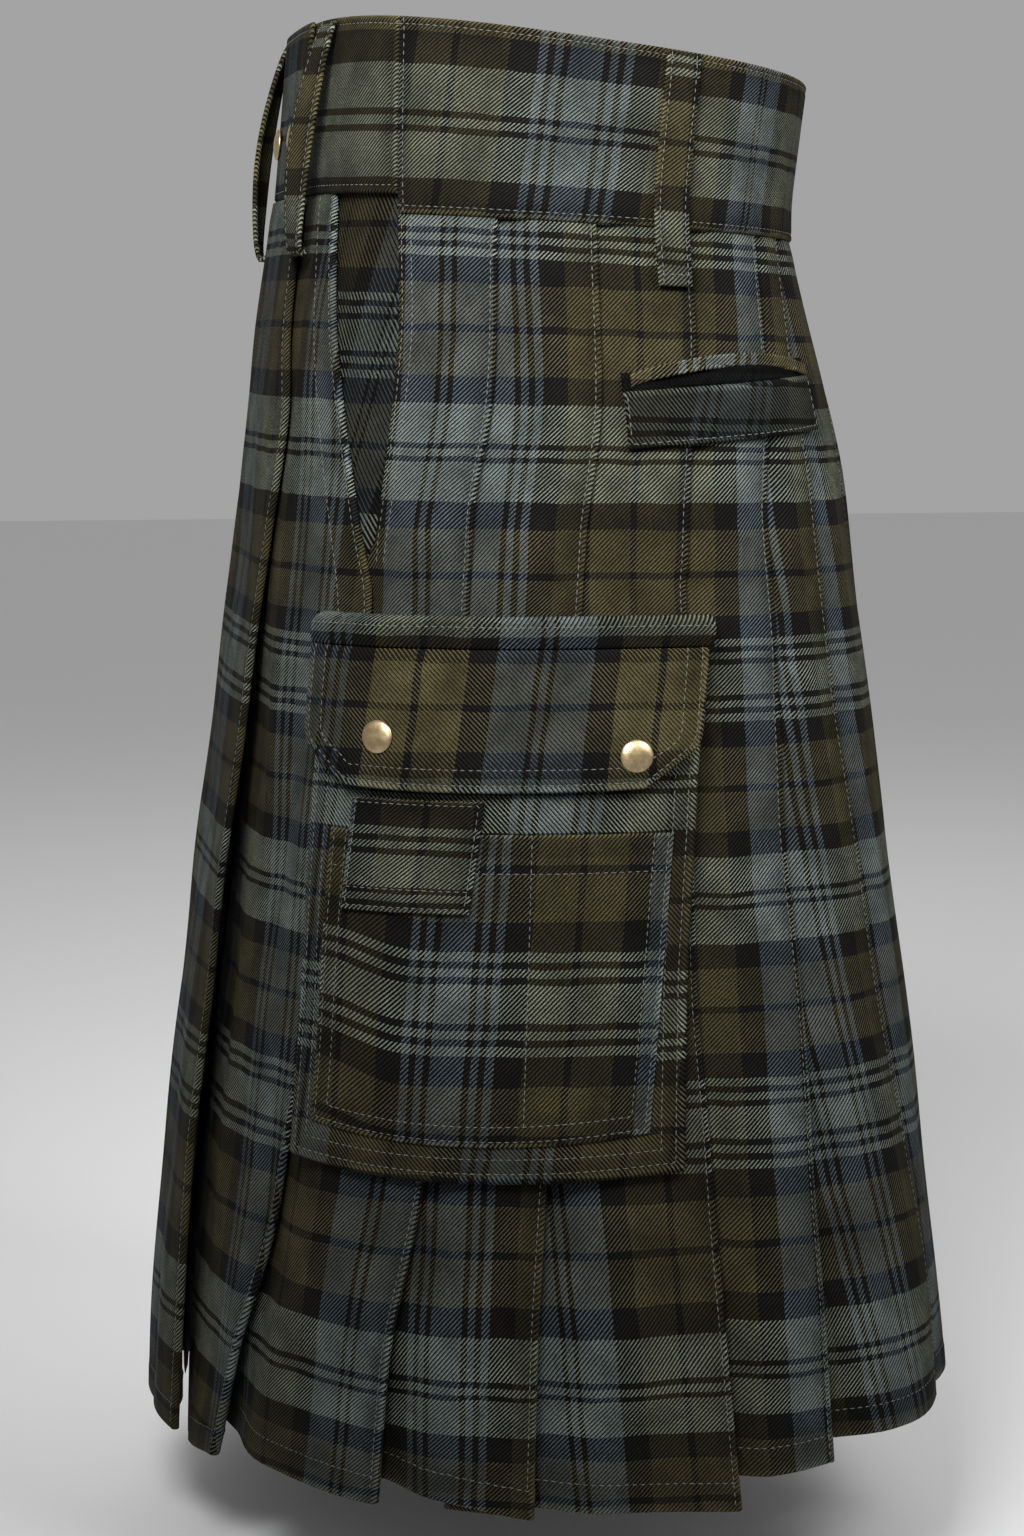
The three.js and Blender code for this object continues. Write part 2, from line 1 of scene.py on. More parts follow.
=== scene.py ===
import bpy
import numpy as np
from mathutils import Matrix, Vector


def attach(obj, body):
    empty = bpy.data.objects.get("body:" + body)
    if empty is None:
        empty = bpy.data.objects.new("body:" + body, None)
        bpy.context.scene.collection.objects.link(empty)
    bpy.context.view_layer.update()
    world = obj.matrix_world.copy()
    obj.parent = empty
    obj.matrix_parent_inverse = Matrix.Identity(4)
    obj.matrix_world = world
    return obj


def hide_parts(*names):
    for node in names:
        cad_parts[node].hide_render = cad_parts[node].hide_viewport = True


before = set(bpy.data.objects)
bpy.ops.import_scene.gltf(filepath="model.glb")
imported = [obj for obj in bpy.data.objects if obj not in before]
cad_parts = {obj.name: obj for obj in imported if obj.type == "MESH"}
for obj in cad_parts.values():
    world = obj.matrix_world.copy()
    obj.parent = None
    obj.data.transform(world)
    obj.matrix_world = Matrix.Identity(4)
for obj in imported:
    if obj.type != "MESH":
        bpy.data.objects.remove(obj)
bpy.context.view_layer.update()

print("frame loaded")

# The body under the cloth, the same rings as the solid parts, in millimetres.
# Levels run down from the waist; walk is the length along the cloth from the centre front
# toward the wearer's left, and out is the distance off the body.
body = {
    "rings": [  # level, half depth, half width, middle, front power, back power, tilt
        (45, 110.5, 148, 17, 3, 2.6, -0.14),
        (-40, 109.2, 152.5, 7.2, 3, 2.6, -0.055),
        (-100, 121.5, 160.5, 10.5, 3, 2.63, -0.03),
        (-150, 129.8, 167, 13.2, 3, 2.7, -0.015),
        (-220, 136.4, 175, 13.6, 2.96, 2.8, 0),
        (-290, 143.2, 183, 14.8, 2.83, 2.9, 0),
        (-360, 151, 191, 15, 2.69, 2.98, 0),
        (-430, 159.5, 199, 15, 2.56, 3.05, 0),
        (-505, 167, 207, 14.5, 2.41, 3.08, 0),
        (-590, 171.5, 214, 13.5, 2.25, 3.1, 0),
        (-620, 172.5, 216, 13.5, 2.25, 3.1, 0),
    ],
    "top": 60.0,
    "foot": -630.0,
    "step": 2.5,
    "shares": 1440,
}


def softTable(rows, column=1, blur=9.0):  # level to value, with the kinks of the table eased
    known = np.array(rows, float)
    down, value = -known[:, 0], known[:, column]
    first = (value[1] - value[0]) / (down[1] - down[0])
    last = (value[-1] - value[-2]) / (down[-1] - down[-2])
    down = np.concatenate([[down[0] - 90], down, [down[-1] + 90]])
    value = np.concatenate([[value[0] - 90 * first], value, [value[-1] + 90 * last]])
    grid = np.arange(down[0], down[-1], 2.0)
    half = int(1.5 * blur)
    kernel = np.exp(-0.5 * (np.arange(-half, half + 1) * 2.0 / blur) ** 2)
    soft = np.convolve(np.interp(grid, down, value), kernel / kernel.sum(), mode="same")
    return lambda level: np.interp(-np.asarray(level, float), grid, soft)


def always(value):  # a table that says the same at each level
    return lambda level: value + 0 * level


def plainTable(rows, column=1):
    known = np.array(rows, float)
    return lambda level: np.interp(-np.asarray(level, float), -known[:, 0], known[:, column])


def smooth(value):
    t = np.clip(value, 0, 1)
    return t * t * (3 - 2 * t)


def bell(value, width):  # 1 at nothing, fading over the width to both sides
    return np.exp(-(value / width) ** 2)


bodyLevels = np.arange(body["top"], body["foot"] - 0.1, -body["step"])
turn = np.linspace(0, 2 * np.pi, 2161)[None, :]
halfDepth, halfWidth, middle, frontPower, backPower = (
    softTable(body["rings"], column, 14.0)(bodyLevels)[:, None] for column in range(1, 6))
ahead, aside = np.cos(turn), np.sin(turn)
power = np.where(ahead > 0, frontPower, backPower)
reach = (np.abs(aside / halfWidth) ** power + np.abs(ahead / halfDepth) ** power) ** (-1 / power)
ringX, ringY = reach * aside, middle - reach * ahead
walked = np.cumsum(np.hypot(np.diff(ringX), np.diff(ringY)), axis=1)
walked = np.concatenate([np.zeros((len(walked), 1)), walked], axis=1)
shares = np.linspace(0, 1, body["shares"] + 1)
bodyX = np.array([np.interp(shares * w[-1], w, x) for w, x in zip(walked, ringX)])
bodyY = np.array([np.interp(shares * w[-1], w, y) for w, y in zip(walked, ringY)])
bodyGirth = walked[:, -1]
bodyTilt = softTable(body["rings"], 6, 14.0)


def girth(level):
    return np.interp(-np.asarray(level, float), -bodyLevels, bodyGirth)


def sample(table, row, column):
    column = column % body["shares"]
    r = np.clip(row.astype(int), 0, len(bodyLevels) - 2)
    c = column.astype(int)
    a, b = row - r, column - c
    return ((table[r, c] * (1 - b) + table[r, c + 1] * b) * (1 - a)
            + (table[r + 1, c] * (1 - b) + table[r + 1, c + 1] * b) * a)


def skinPoint(walk, level, out):  # arrays of one shape in, points in millimetres out
    walk, level, out = np.broadcast_arrays(*(np.asarray(v, float) for v in (walk, level, out)))
    row = (body["top"] - level) / body["step"]
    column = walk / girth(level) * body["shares"]
    x, y = sample(bodyX, row, column), sample(bodyY, row, column)
    alongX = sample(bodyX, row, column + 3) - sample(bodyX, row, column - 3)
    alongY = sample(bodyY, row, column + 3) - sample(bodyY, row, column - 3)
    long = np.hypot(alongX, alongY)
    return np.stack([x + out * alongY / long, y - out * alongX / long, level + bodyTilt(level) * y], axis=-1)


# Soft troughs and ridges of the hung cloth, placed one by one
drape = {
    "creases": [  # walk, level, turn in degrees, half length, half width, height
        (205, -172, 62, 34, 8, -2.6),
        (190, -152, 62, 30, 8, 2.2),
        (172, -186, 70, 26, 7, 2.2),
        (222, -190, 66, 24, 7, 1.8),
        (228, -176, 15, 20, 9, -1.8),
        (246, -150, 74, 26, 8, 1.5),
        (262, -172, 80, 26, 7, -1.8),
        (286, -196, 8, 22, 8, -2.6),
        (300, -186, 20, 18, 6, 2.0),
        (322, -168, 75, 30, 7, -1.8),
        (338, -210, 70, 26, 8, 1.7),
        (176, -112, 84, 30, 8, 1.2),
        (196, -98, 80, 26, 7, -1.3),
        (250, -86, 85, 26, 9, -1.3),
        (150, -196, 80, 26, 7, -1.6),
        (110, -300, 80, 60, 10, -2.4),
        (90, -250, 84, 70, 11, 2.0),
        (80, -180, 80, 46, 10, 1.8),
        (64, -130, 76, 40, 9, -1.6),
        (120, -470, 86, 60, 10, -2.6),
        (70, -420, 88, 90, 11, 2.0),
        (340, -300, 82, 60, 13, -2.0),
        (352, -250, 64, 36, 10, 1.6),
        (372, -420, 84, 70, 15, 2.0),
        (330, -480, 80, 60, 11, -2.0),
        (250, -500, 84, 40, 8, -2.0),
        (205, -520, 80, 40, 7, 1.6),
    ],
    "gain": 1.3,
    "wave": 0.7,
    "hemWave": 1.2,
}


def relief(walk, level):
    total = girth(level)
    near = np.abs((walk + total / 2) % total - total / 2)  # the same on both sides
    height = np.zeros(np.broadcast(near, level).shape)
    for atWalk, atLevel, angle, long, wide, rise in drape["creases"]:
        c, s = np.cos(np.radians(angle)), np.sin(np.radians(angle))
        across, up = near - atWalk * total / girth(atLevel), level - atLevel
        height += rise * bell(across * c + up * s, long) * bell(up * c - across * s, wide)
    share = near / total
    calm = smooth((-50 - level) / 70)
    low = smooth((-330 - level) / 230)
    height += calm * drape["wave"] * np.sin(share * 61 + level / 37) * np.cos(level / 53 + share * 19)
    height += low * drape["hemWave"] * np.sin(share * 92 + 0.8 * np.sin(level / 60))
    return height * drape["gain"]


# Building closed walls of cloth

def spaced(length, step, near=(0, 0.15, 0.4, 0.8, 1.5, 2.6), ends=(True, True)):
    marks = [0.0, 1.0]
    start = near[-1] if ends[0] else 0
    stop = length - (near[-1] if ends[1] else 0)
    marks += [d / length for d in near] if ends[0] else []
    marks += [1 - d / length for d in near] if ends[1] else []
    marks += list(np.linspace(start, stop, max(2, int((stop - start) / step) + 1)) / length)
    return np.unique(np.round(marks, 6))


def gridNormals(points):
    down = np.gradient(points, axis=0)
    along = np.gradient(points, axis=1)
    normal = np.cross(down, along)
    return normal / np.maximum(np.linalg.norm(normal, axis=-1, keepdims=True), 1e-9)


def borderDistance(points):
    stepAlong = np.linalg.norm(np.diff(points, axis=1), axis=-1)
    stepDown = np.linalg.norm(np.diff(points, axis=0), axis=-1)
    left = np.concatenate([np.zeros((len(points), 1)), np.cumsum(stepAlong, axis=1)], axis=1)
    top = np.concatenate([np.zeros((1, points.shape[1])), np.cumsum(stepDown, axis=0)], axis=0)
    return np.minimum(np.minimum(left, left[:, -1:] - left), np.minimum(top, top[-1:] - top))


def clothWall(walk, level, out, thickness, extra=0, ridden=True):
    walk, level = np.broadcast_arrays(walk, level)
    lifted = out + (relief(walk, level) if ridden else 0)
    centre = skinPoint(walk, level, lifted)
    normal = gridNormals(centre)
    radius = thickness / 2
    edged = np.sqrt(1 - (1 - np.clip(borderDistance(centre) / radius, 0.02, 1)) ** 2)
    half = ((radius + extra) * edged)[..., None]
    return {"walk": walk, "level": level, "centre": centre, "normal": normal,
            "outer": centre + normal * half, "inner": centre - normal * half}


def wallFaces(rows, columns):
    r, c = np.meshgrid(np.arange(rows - 1), np.arange(columns - 1), indexing="ij")
    at = (r * columns + c).ravel()
    outer = np.stack([at, at + columns, at + columns + 1, at + 1], axis=1)
    inner = outer[:, ::-1] + rows * columns
    back = rows * columns
    left = np.arange(rows - 1) * columns
    right = left + columns - 1
    top = np.arange(columns - 1)
    foot = top + (rows - 1) * columns
    rims = [
        np.stack([left, left + back, left + back + columns, left + columns], axis=1),
        np.stack([right, right + columns, right + columns + back, right + back], axis=1),
        np.stack([top, top + 1, top + 1 + back, top + back], axis=1),
        np.stack([foot, foot + back, foot + back + 1, foot + 1], axis=1),
    ]
    return np.concatenate([outer, inner, *rims])


def added(name, data):  # a new object in the scene
    made = bpy.data.objects.new(name, data)
    bpy.context.scene.collection.objects.link(made)
    return made


def shadeSmooth(mesh):
    mesh.polygons.foreach_set("use_smooth", [True] * len(mesh.polygons))


def makeMesh(name, points, faces, maps, marks, material, mirrored=False):
    points = np.array(points, float) * 0.001
    if mirrored:
        points = points * [-1, 1, 1]
        maps = {key: uv * [-1, 1] for key, uv in maps.items()}
        faces = faces[:, ::-1]
    mesh = bpy.data.meshes.new(name)
    mesh.from_pydata(points.tolist(), [], faces.tolist())
    corner = np.empty(len(mesh.loops), dtype=np.int32)
    mesh.loops.foreach_get("vertex_index", corner)
    for key, uv in maps.items():
        layer = mesh.uv_layers.new(name=key)
        layer.data.foreach_set("uv", uv[corner].astype(np.float32).ravel())
    for key, values in marks.items():
        attribute = mesh.attributes.new(key, "FLOAT", "POINT")
        attribute.data.foreach_set("value", np.asarray(values, np.float32).ravel())
    shadeSmooth(mesh)
    mesh.materials.append(material)
    mesh.update()
    return added(name, mesh)


pieces = {}  # the finished cloth by the name of the node that it stands for


def sewnPiece(node, wall, warp, weft, cloth, seam=None, wear=None, sides=("left", "right"),
              threads=None):
    material, slot = cloths[cloth]
    rows, columns = wall["walk"].shape
    maps = {}
    for key, pair in (("weave", (warp, weft)), ("twill", threads or (warp, weft))):
        uv = np.stack(np.broadcast_arrays(*pair), axis=-1).reshape(-1, 2)
        maps[key] = np.concatenate([uv, uv])
    zero = np.zeros((rows, columns))
    marks = {}
    for key, values in (("seam", seam), ("wear", wear)):
        values = zero if values is None else np.broadcast_to(values, zero.shape)
        marks[key] = np.concatenate([values.ravel(), values.ravel()])
    points = np.concatenate([wall["outer"].reshape(-1, 3), wall["inner"].reshape(-1, 3)])
    faces = wallFaces(rows, columns)
    edgeDown = wall["centre"][1:, :-1] - wall["centre"][:-1, :-1]
    edgeAlong = wall["centre"][:-1, 1:] - wall["centre"][:-1, :-1]
    pieces[node] = wall
    made = []
    for side in sides or (None,):
        full = node if side is None else node.replace("SIDE", side)
        sewn = makeMesh("cloth_" + full, points, faces, maps, marks, material, side == "right")
        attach(sewn, "root")
        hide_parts(full)
        made.append(sewn)
    return made


# Materials

class Wire:  # a socket that takes arithmetic, with numbers on either side
    def __init__(self, bench, socket):
        self.bench, self.socket = bench, socket

    def __add__(self, other):
        return self.bench.maths("ADD", self, other)

    def __sub__(self, other):
        return self.bench.maths("SUBTRACT", self, other)

    def __rsub__(self, other):
        return self.bench.maths("SUBTRACT", other, self)

    def __mul__(self, other):
        return self.bench.maths("MULTIPLY", self, other)

    def __truediv__(self, other):
        return self.bench.maths("DIVIDE", self, other)

    __radd__ = __add__
    __rmul__ = __mul__


class Bench:  # the node tree of a material, or a tree of geometry nodes
    def __init__(self, name, tree=None):
        if tree is None:
            self.material = bpy.data.materials.new(name)
            self.material.use_nodes = True
            tree = self.material.node_tree
            tree.nodes.clear()
        self.tree = tree

    def node(self, kind, settings=None, inputs=None):
        made = self.tree.nodes.new(kind)
        for key, value in (settings or {}).items():
            if key == "stops":
                self.setStops(made.color_ramp, value)
            else:
                setattr(made, key, value)
        for key, value in (inputs or {}).items():
            if isinstance(value, Wire):
                self.tree.links.new(value.socket, made.inputs[key])
            else:
                made.inputs[key].default_value = value
        return made

    def setStops(self, ramp, stops):
        ramp.interpolation = stops["kind"]
        elements = ramp.elements
        for i, (place, colour) in enumerate(stops["marks"]):
            element = elements[i] if i < len(elements) else elements.new(place)
            element.position = place
            element.color = (*colour, 1)

    def wire(self, node, output):
        return Wire(self, node.outputs[output])

    def made(self, kind, settings=None, inputs=None, output=0):  # what comes out of a new node
        return self.wire(self.node(kind, settings, inputs), output)

    def maths(self, operation, *values):
        return self.made("ShaderNodeMath", {"operation": operation}, dict(enumerate(values)))

    def ramp(self, value, kind, marks):
        return self.made("ShaderNodeValToRGB", {"stops": {"kind": kind, "marks": marks}}, {0: value})

    def mixColour(self, factor, first, second):
        inputs = {0: factor, 6: first, 7: second}
        return self.made("ShaderNodeMix", {"data_type": "RGBA"}, inputs, output=2)

    def step(self, value, low, high):
        settings = {"interpolation_type": "SMOOTHSTEP", "clamp": True}
        return self.made("ShaderNodeMapRange", settings, {0: value, 1: low, 2: high})

    def scaled(self, colour, factor):
        return self.made("ShaderNodeVectorMath", {"operation": "SCALE"}, {0: colour, 3: factor})

    def vector(self, x, y, z=0.0):
        return self.made("ShaderNodeCombineXYZ", {}, {0: x, 1: y, 2: z})

    def noise(self, vector, scale, detail=2.0, roughness=0.5):
        inputs = {"Vector": vector, "Scale": scale, "Detail": detail, "Roughness": roughness}
        return self.made("ShaderNodeTexNoise", {}, inputs)

    def finish(self, settings, inputs, bump=None):
        shader = self.node("ShaderNodeBsdfPrincipled", {}, settings | inputs)
        if bump:
            strength, distance, height = bump
            made = self.node("ShaderNodeBump", {},
                             {"Strength": strength, "Distance": distance, "Height": height})
            self.tree.links.new(made.outputs[0], shader.inputs["Normal"])
        end = self.node("ShaderNodeOutputMaterial")
        self.tree.links.new(shader.outputs[0], end.inputs[0])
        return self.material


# The tartan, from the middle of its widest slate bar to the middle of the paired thin bars
tartan = {
    "half": 96.4,
    "bars": [  # where each bar starts, in millimetres, and its yarn
        (0, "slate"), (6.7, "black"), (9.1, "slate"), (12.4, "black"), (14.8, "slate"), (18.1, "black"),
        (29.1, "olive"), (46.1, "black"), (49.1, "olive"), (66.1, "black"), (77.1, "slate"), (92.5, "black"),
        (94.8, "slate"),
    ],
    # the warp colours are the weft yarns darkened to about half or less: painted shade on the warp floats of
    # the twill
    "warp": {"slate": (0.054, 0.072, 0.088), "olive": (0.027, 0.023, 0.0085),
             "black": (0.0026, 0.0023, 0.0022)},
    "weft": {"slate": (0.124, 0.137, 0.11), "olive": (0.056, 0.049, 0.0265),
             "black": (0.0095, 0.0084, 0.0074)},
    "rib": 1.9,  # from one twill line to the next
}


def tartanTwill(name, lean=1, rib=1.0, gain=1.0, warpTone=None, weftTone=None, valley=0.03):
    bench = Bench(name)
    place = bench.made("ShaderNodeUVMap", {"uv_map": "weave"})
    split = bench.node("ShaderNodeSeparateXYZ", {}, {0: place})
    yarns = bench.made("ShaderNodeUVMap", {"uv_map": "twill"})
    lines = bench.node("ShaderNodeSeparateXYZ", {}, {0: yarns})
    warp = bench.wire(split, 0) + (bench.noise(place, 0.045, 1.0) - 0.5) * 1.6
    weft = bench.wire(split, 1) + (bench.noise(place, 0.052, 1.0) - 0.5) * 1.8
    across, down = bench.wire(lines, 0), bench.wire(lines, 1)

    def bars(position, palette, tone):
        at = bench.maths("PINGPONG", position, tartan["half"]) / tartan["half"]
        marks = [(start / tartan["half"], [c * gain * (tone or {}).get(yarn, 1) for c in palette[yarn]])
                 for start, yarn in tartan["bars"]]
        return bench.ramp(at, "CONSTANT", marks)

    rough = bench.noise(yarns, 1.6, 2.0)
    slubWarp = bench.noise(bench.vector(across * 2.1, down * 0.16), 1.0, 1.0)
    slubWeft = bench.noise(bench.vector(across * 0.16, down * 2.1), 1.0, 1.0)
    ribs = (across + down * lean) / (tartan["rib"] * rib) + (rough - 0.5) * 0.3
    wave = bench.maths("COSINE", ribs * 6.28319)
    over = bench.step(wave, -0.1, 0.35)  # the weft floats are the brighter lines; the darker warp colours beside them are painted shade
    beside = bench.maths("COSINE", ribs * 6.28319 - 1.9)
    groove = bench.step(beside, 0.1, 0.85)  # the shadow along each float
    shade = 1 - groove * (1 - valley)
    warpColour = bench.scaled(bars(warp, tartan["warp"], warpTone), slubWarp * 1.1 + 0.45)
    weftColour = bench.scaled(bars(weft, tartan["weft"], weftTone), slubWeft * 1.1 + 0.45)
    cloth = bench.mixColour(over, warpColour, weftColour)
    # the wear mark lightens rubbed edges; along the welt strip's folded top edge it is a painted highlight
    wear = bench.made("ShaderNodeAttribute", {"attribute_name": "wear"}, output=2)
    # the seam mark darkens the cloth along stitched lines; over the welt's recess it is painted shade
    seam = bench.made("ShaderNodeAttribute", {"attribute_name": "seam"}, output=2)
    patchy = bench.noise(yarns, 0.045, 4.0, 0.6)
    washed = bench.step(patchy, 0.25, 0.75) * 0.75 + 0.62
    cloth = bench.scaled(cloth, shade * washed * (1 + wear * (rough * 1.3 + 0.2)) * (1 - seam * 0.35))
    pucker = bench.noise(yarns, 0.17, 1.0) * seam * 3.0
    height = wave * 0.25 - groove * 0.6 + slubWeft * 0.2 + pucker
    return bench.finish(
        {"Specular IOR Level": 0.08},
        {"Base Color": cloth, "Roughness": rough * 0.15 + 0.8},
        (0.8, 0.00035, height))


def brassCap():
    bench = Bench("antiqueBrass")
    place = bench.made("ShaderNodeTexCoord", output=3)
    cloudy = bench.noise(place, 260.0, 4.0)
    fine = bench.noise(place, 1800.0, 2.0)
    colour = bench.mixColour(bench.step(cloudy, 0.35, 0.7), (0.50, 0.37, 0.20, 1), (0.66, 0.52, 0.31, 1))
    return bench.finish({"Metallic": 1.0}, {"Base Color": colour, "Roughness": cloudy * 0.25 + 0.22},
                        (0.15, 0.0001, fine))


def sewingThread():
    bench = Bench("sewingThread")
    place = bench.made("ShaderNodeTexCoord", output=3)
    patchy = bench.noise(place, 90.0, 2.0)
    colour = bench.mixColour(patchy, (0.06, 0.065, 0.055, 1), (0.15, 0.155, 0.135, 1))
    return bench.finish({"Roughness": 0.75, "Specular IOR Level": 0.3}, {"Base Color": colour})


cloths = {  # each cloth with its material and the name of a slot
    "skirt": (tartanTwill("tartanSkirt"), "tartan_skirt"),
    "band": (tartanTwill("tartanBand", warpTone={"slate": 0.75}, weftTone={"slate": 0.8, "olive": 1.2}),
             "tartan_band"),
    "bag": (tartanTwill("tartanPocket"), "tartan_pocket"),
    "flap": (tartanTwill("tartanFlap", lean=-1, warpTone={"slate": 0.8, "olive": 3.0, "black": 1.2},
                         weftTone={"slate": 0.6, "olive": 0.95}, valley=0.06), "tartan_pocket"),
    "facing": (tartanTwill("tartanFacing", lean=-1, rib=1.35, gain=0.55, warpTone={"slate": 0.7}),
               "tartan_facing"),
    "flapBand": (tartanTwill("tartanFlapBand", lean=-1, gain=0.62), "tartan_pocket"),
    "welt": (tartanTwill("tartanWelt", lean=-1, gain=0.26), "tartan_facing"),
}
brass = brassCap()
thread = sewingThread()
print("materials ready")

# Fold lines of the skirt, as shares of the girth from the centre front
folds = {
    "levels": (-38, -94, -123, -164, -206, -250, -304, -375, -448, -514, -590),
    "side": (.1033, .113, .123, .1358, .1471, .1439, .1376, .1226, .1091, .0925, .0682),
    "one": (.2067, .2043, .2021, .1928, .1905, .1897, .1878, .1806, .1734, .1632, .1572),
    "two": (.254, .2517, .2498, .2412, .2369, .2336, .2294, .2229, .2165, .2126, .2104),
    "three": (.3014, .2974, .2916, .2844, .2809, .2789, .276, .2739, .276, .2774, .2796),
    "four": (.3462, .3369, .3296, .3238, .3209, .3188, .3166, .3153, .3135, .3137, .3151),
    "five": (.372, .358, .3535, .3518, .3522, .3525, .3554, .36, .368, .377, .385),
    "six": (.414, .404, .4, .3985, .3995, .4005, .405, .4105, .419, .428, .436),
    "seven": (.457, .451, .449, .4478, .4488, .45, .4545, .4605, .469, .477, .485),
}
pleatNames = ["one", "two", "three", "four", "five", "six", "seven"]
pleat = {
    "cloth": 1.5,
    "hemNear": (0, .15, .4, .8, 1.5, 3, 6, 9, 11, 12, 13, 15),
    "foldNear": (0, 0.7, 1.4, 2.2, 3.0, 4.2),
    "gap": 0.3,
    "top": -46.3,
    "hems": {"side": (-600, -592), "one": (-582, -586), "two": (-578, -587), "three": (-585, -587),
             "four": (-575, -572), "five": (-565, -563), "six": (-562, -562), "seven": (-562, -562)},
    "pocketEdge": [(-38, .1562), (-94, .1599), (-134, .1556), (-180, .148), (-206, .144)],
    "pitch": [(-38, 1.95), (-220, 1.95), (-450, 2.3), (-590, 3.6)],
    "lift": [(-38, 0), (-450, 0), (-590, 4.5)],
    "depthShare": [(-38, .52), (-220, .52), (-450, .55), (-590, .58)],
    "bulge": [(-38, 0), (-300, 0.2), (-450, 0.9), (-590, 2.2)],
    "early": 0.22,  # how much of its lift the face has before the doubled cloth starts
    "hemTurn": 12.0,
    "stitchIn": 2.2,
    "sink": 0.35,  # how far a stitch line pulls the cloth in
    # the warp number at each fold edge, at levels -80 and -480
    "warp": {"one": (117, 116.6), "two": (44.1, 40), "three": (170.2, 165.2), "four": (94, 97),
             "five": (43, 43), "six": (150, 150), "seven": (250, 250)},
}
# the weft number at each level, the same round the skirt but for its foot
upperWeft = [(0, -46), (-44, 0), (-91.5, 47.6), (-143, 96.4), (-194, 145.2), (-238, 192.8), (-284, 240.4),
             (-331, 289.2), (-377, 338), (-424, 385.6)]
weftFront = plainTable(upperWeft + [(-477, 433.2), (-535, 482), (-590, 540), (-620, 570)])
weftBack = plainTable(upperWeft + [(-475, 433.2), (-529, 482), (-590, 545), (-620, 575)])
foldShare = {name: softTable(list(zip(folds["levels"], folds[name]))) for name in ["side", *pleatNames]}
pocketShare = softTable(pleat["pocketEdge"])
pitchAt, liftAt, bulgeAt = (softTable(pleat[key], blur=20.0) for key in ("pitch", "lift", "bulge"))
depthShareAt = plainTable(pleat["depthShare"])


def foldWalk(name, level):
    return foldShare[name](level) * girth(level)


def pocketBlend(level):  # 0 where the slanted pocket is open, 1 where its edge has gone under
    return smooth((-178 - level) / 26)


def pocketEdge(level):
    return np.maximum(pocketShare(level) * girth(level), foldWalk("side", level))


def sideReturn(level):
    return np.interp(-np.asarray(level, float), [206, 450], [6, 40])


def pleatDepth(index, level):
    before = pocketEdge(level) if index == 0 else foldWalk(pleatNames[index - 1], level)
    return (foldWalk(pleatNames[index], level) - before) * depthShareAt(level)


def hemExtra(fromHem):  # the turned-up hem is a little thicker
    return 0.22 * smooth((13.5 - fromHem) / 1.5)


def foldColumns(length, step=3.2):  # parts of one folded line: under, face, round the fold, back
    face = length * spaced(length, step, near=pleat["foldNear"], ends=(False, True))
    return ([("under", q) for q in (0, 0.5, 0.9)] + [("face", q / length) for q in face]
            + [("arc", q) for q in np.linspace(0, 1, 9)[1:-1]] + [("back", q) for q in (0, .15, .4, .7, 1)])


def foldedPanel(lineAt, top, hem, columns):
    drop = top - (hem[0] + hem[1]) / 2
    rows = spaced(drop, 7.0, near=pleat["hemNear"], ends=(False, True))
    kind = np.array([name for name, _ in columns])
    along = np.array([q for _, q in columns])[None, :]
    share = np.where(kind == "under", 0, np.where(kind == "face", along, 1))
    hemAt = hem[0] + (hem[1] - hem[0]) * share
    level = top + (hemAt - top) * rows[:, None]
    start, startOut, shadow, edge, depth = lineAt(level)
    pitch, lift, bulge = pitchAt(level), liftAt(level), bulgeAt(level)
    r = pitch / 2
    front = shadow - 2
    bare = edge - depth - shadow
    faceWalk = front + (edge - r - front) * along
    climb = smooth((faceWalk - front) / np.maximum(0.95 * bare, 8))
    early = pleat["early"]
    doubled = np.clip((faceWalk - edge + depth) / depth, 0, 1)
    rise = np.where(faceWalk > edge - depth, early + (1 - early) * doubled,
                    early * smooth((faceWalk - shadow) / np.maximum(bare, 5)))
    faceOut = startOut * (1 - climb) + lift * rise + bulge * np.sin(np.pi * along) ** 1.5
    angle = np.pi * along
    walk = np.select([kind == "under", kind == "face", kind == "arc"],
                     [start + (front - start) * along, faceWalk, edge - r + r * np.sin(angle)],
                     edge - r - (depth - r) * along)
    out = np.select([kind == "under", kind == "face", kind == "arc"],
                    [startOut + 0 * walk, faceOut, lift - r + r * np.cos(angle)],
                    lift * (1 - .8 * along) - pitch)
    fromHem = level - hemAt
    isFace = (kind == "face") | (kind == "arc")
    groove = bell(fromHem - pleat["hemTurn"], 1.1) * isFace
    sinkLine = bell(edge - walk - pleat["stitchIn"], 0.9) * (kind == "face")
    out = out - pleat["sink"] * (groove + sinkLine)
    length = np.concatenate([np.zeros((len(walk), 1)),
                             np.cumsum(np.hypot(np.diff(walk), np.diff(out)), axis=1)], axis=1)
    turnAt = np.argmax(kind == "arc") + 3
    fromEdge = length - length[:, turnAt:turnAt + 1]
    seam = np.maximum(bell(edge - walk - 2, 5) * isFace, bell(fromHem - 10, 7))
    wear = np.maximum(bell(edge - walk, 1.2) * isFace, bell(fromHem, 1.6) * 0.8)
    wall = clothWall(walk, level, out, pleat["cloth"], hemExtra(fromHem))
    wall["face"] = np.flatnonzero(kind == "face")
    return wall, fromEdge, level, seam, wear


def pleatLine(index):
    name = pleatNames[index]

    def lineAt(level):
        pitch, edge, depth = pitchAt(level), foldWalk(name, level), pleatDepth(index, level)
        if index > 0:
            shadow = foldWalk(pleatNames[index - 1], level)
            return shadow - pleatDepth(index - 1, level), -2 * pitch, shadow, edge, depth
        gone = pocketBlend(level)
        shadow = pocketEdge(level) * (1 - gone) + foldWalk("side", level) * gone
        start = shadow - sideReturn(level) * gone
        return start, -(2 * pitch + pleat["gap"]) * gone, np.maximum(shadow, start + 2.1), edge, depth
    return lineAt


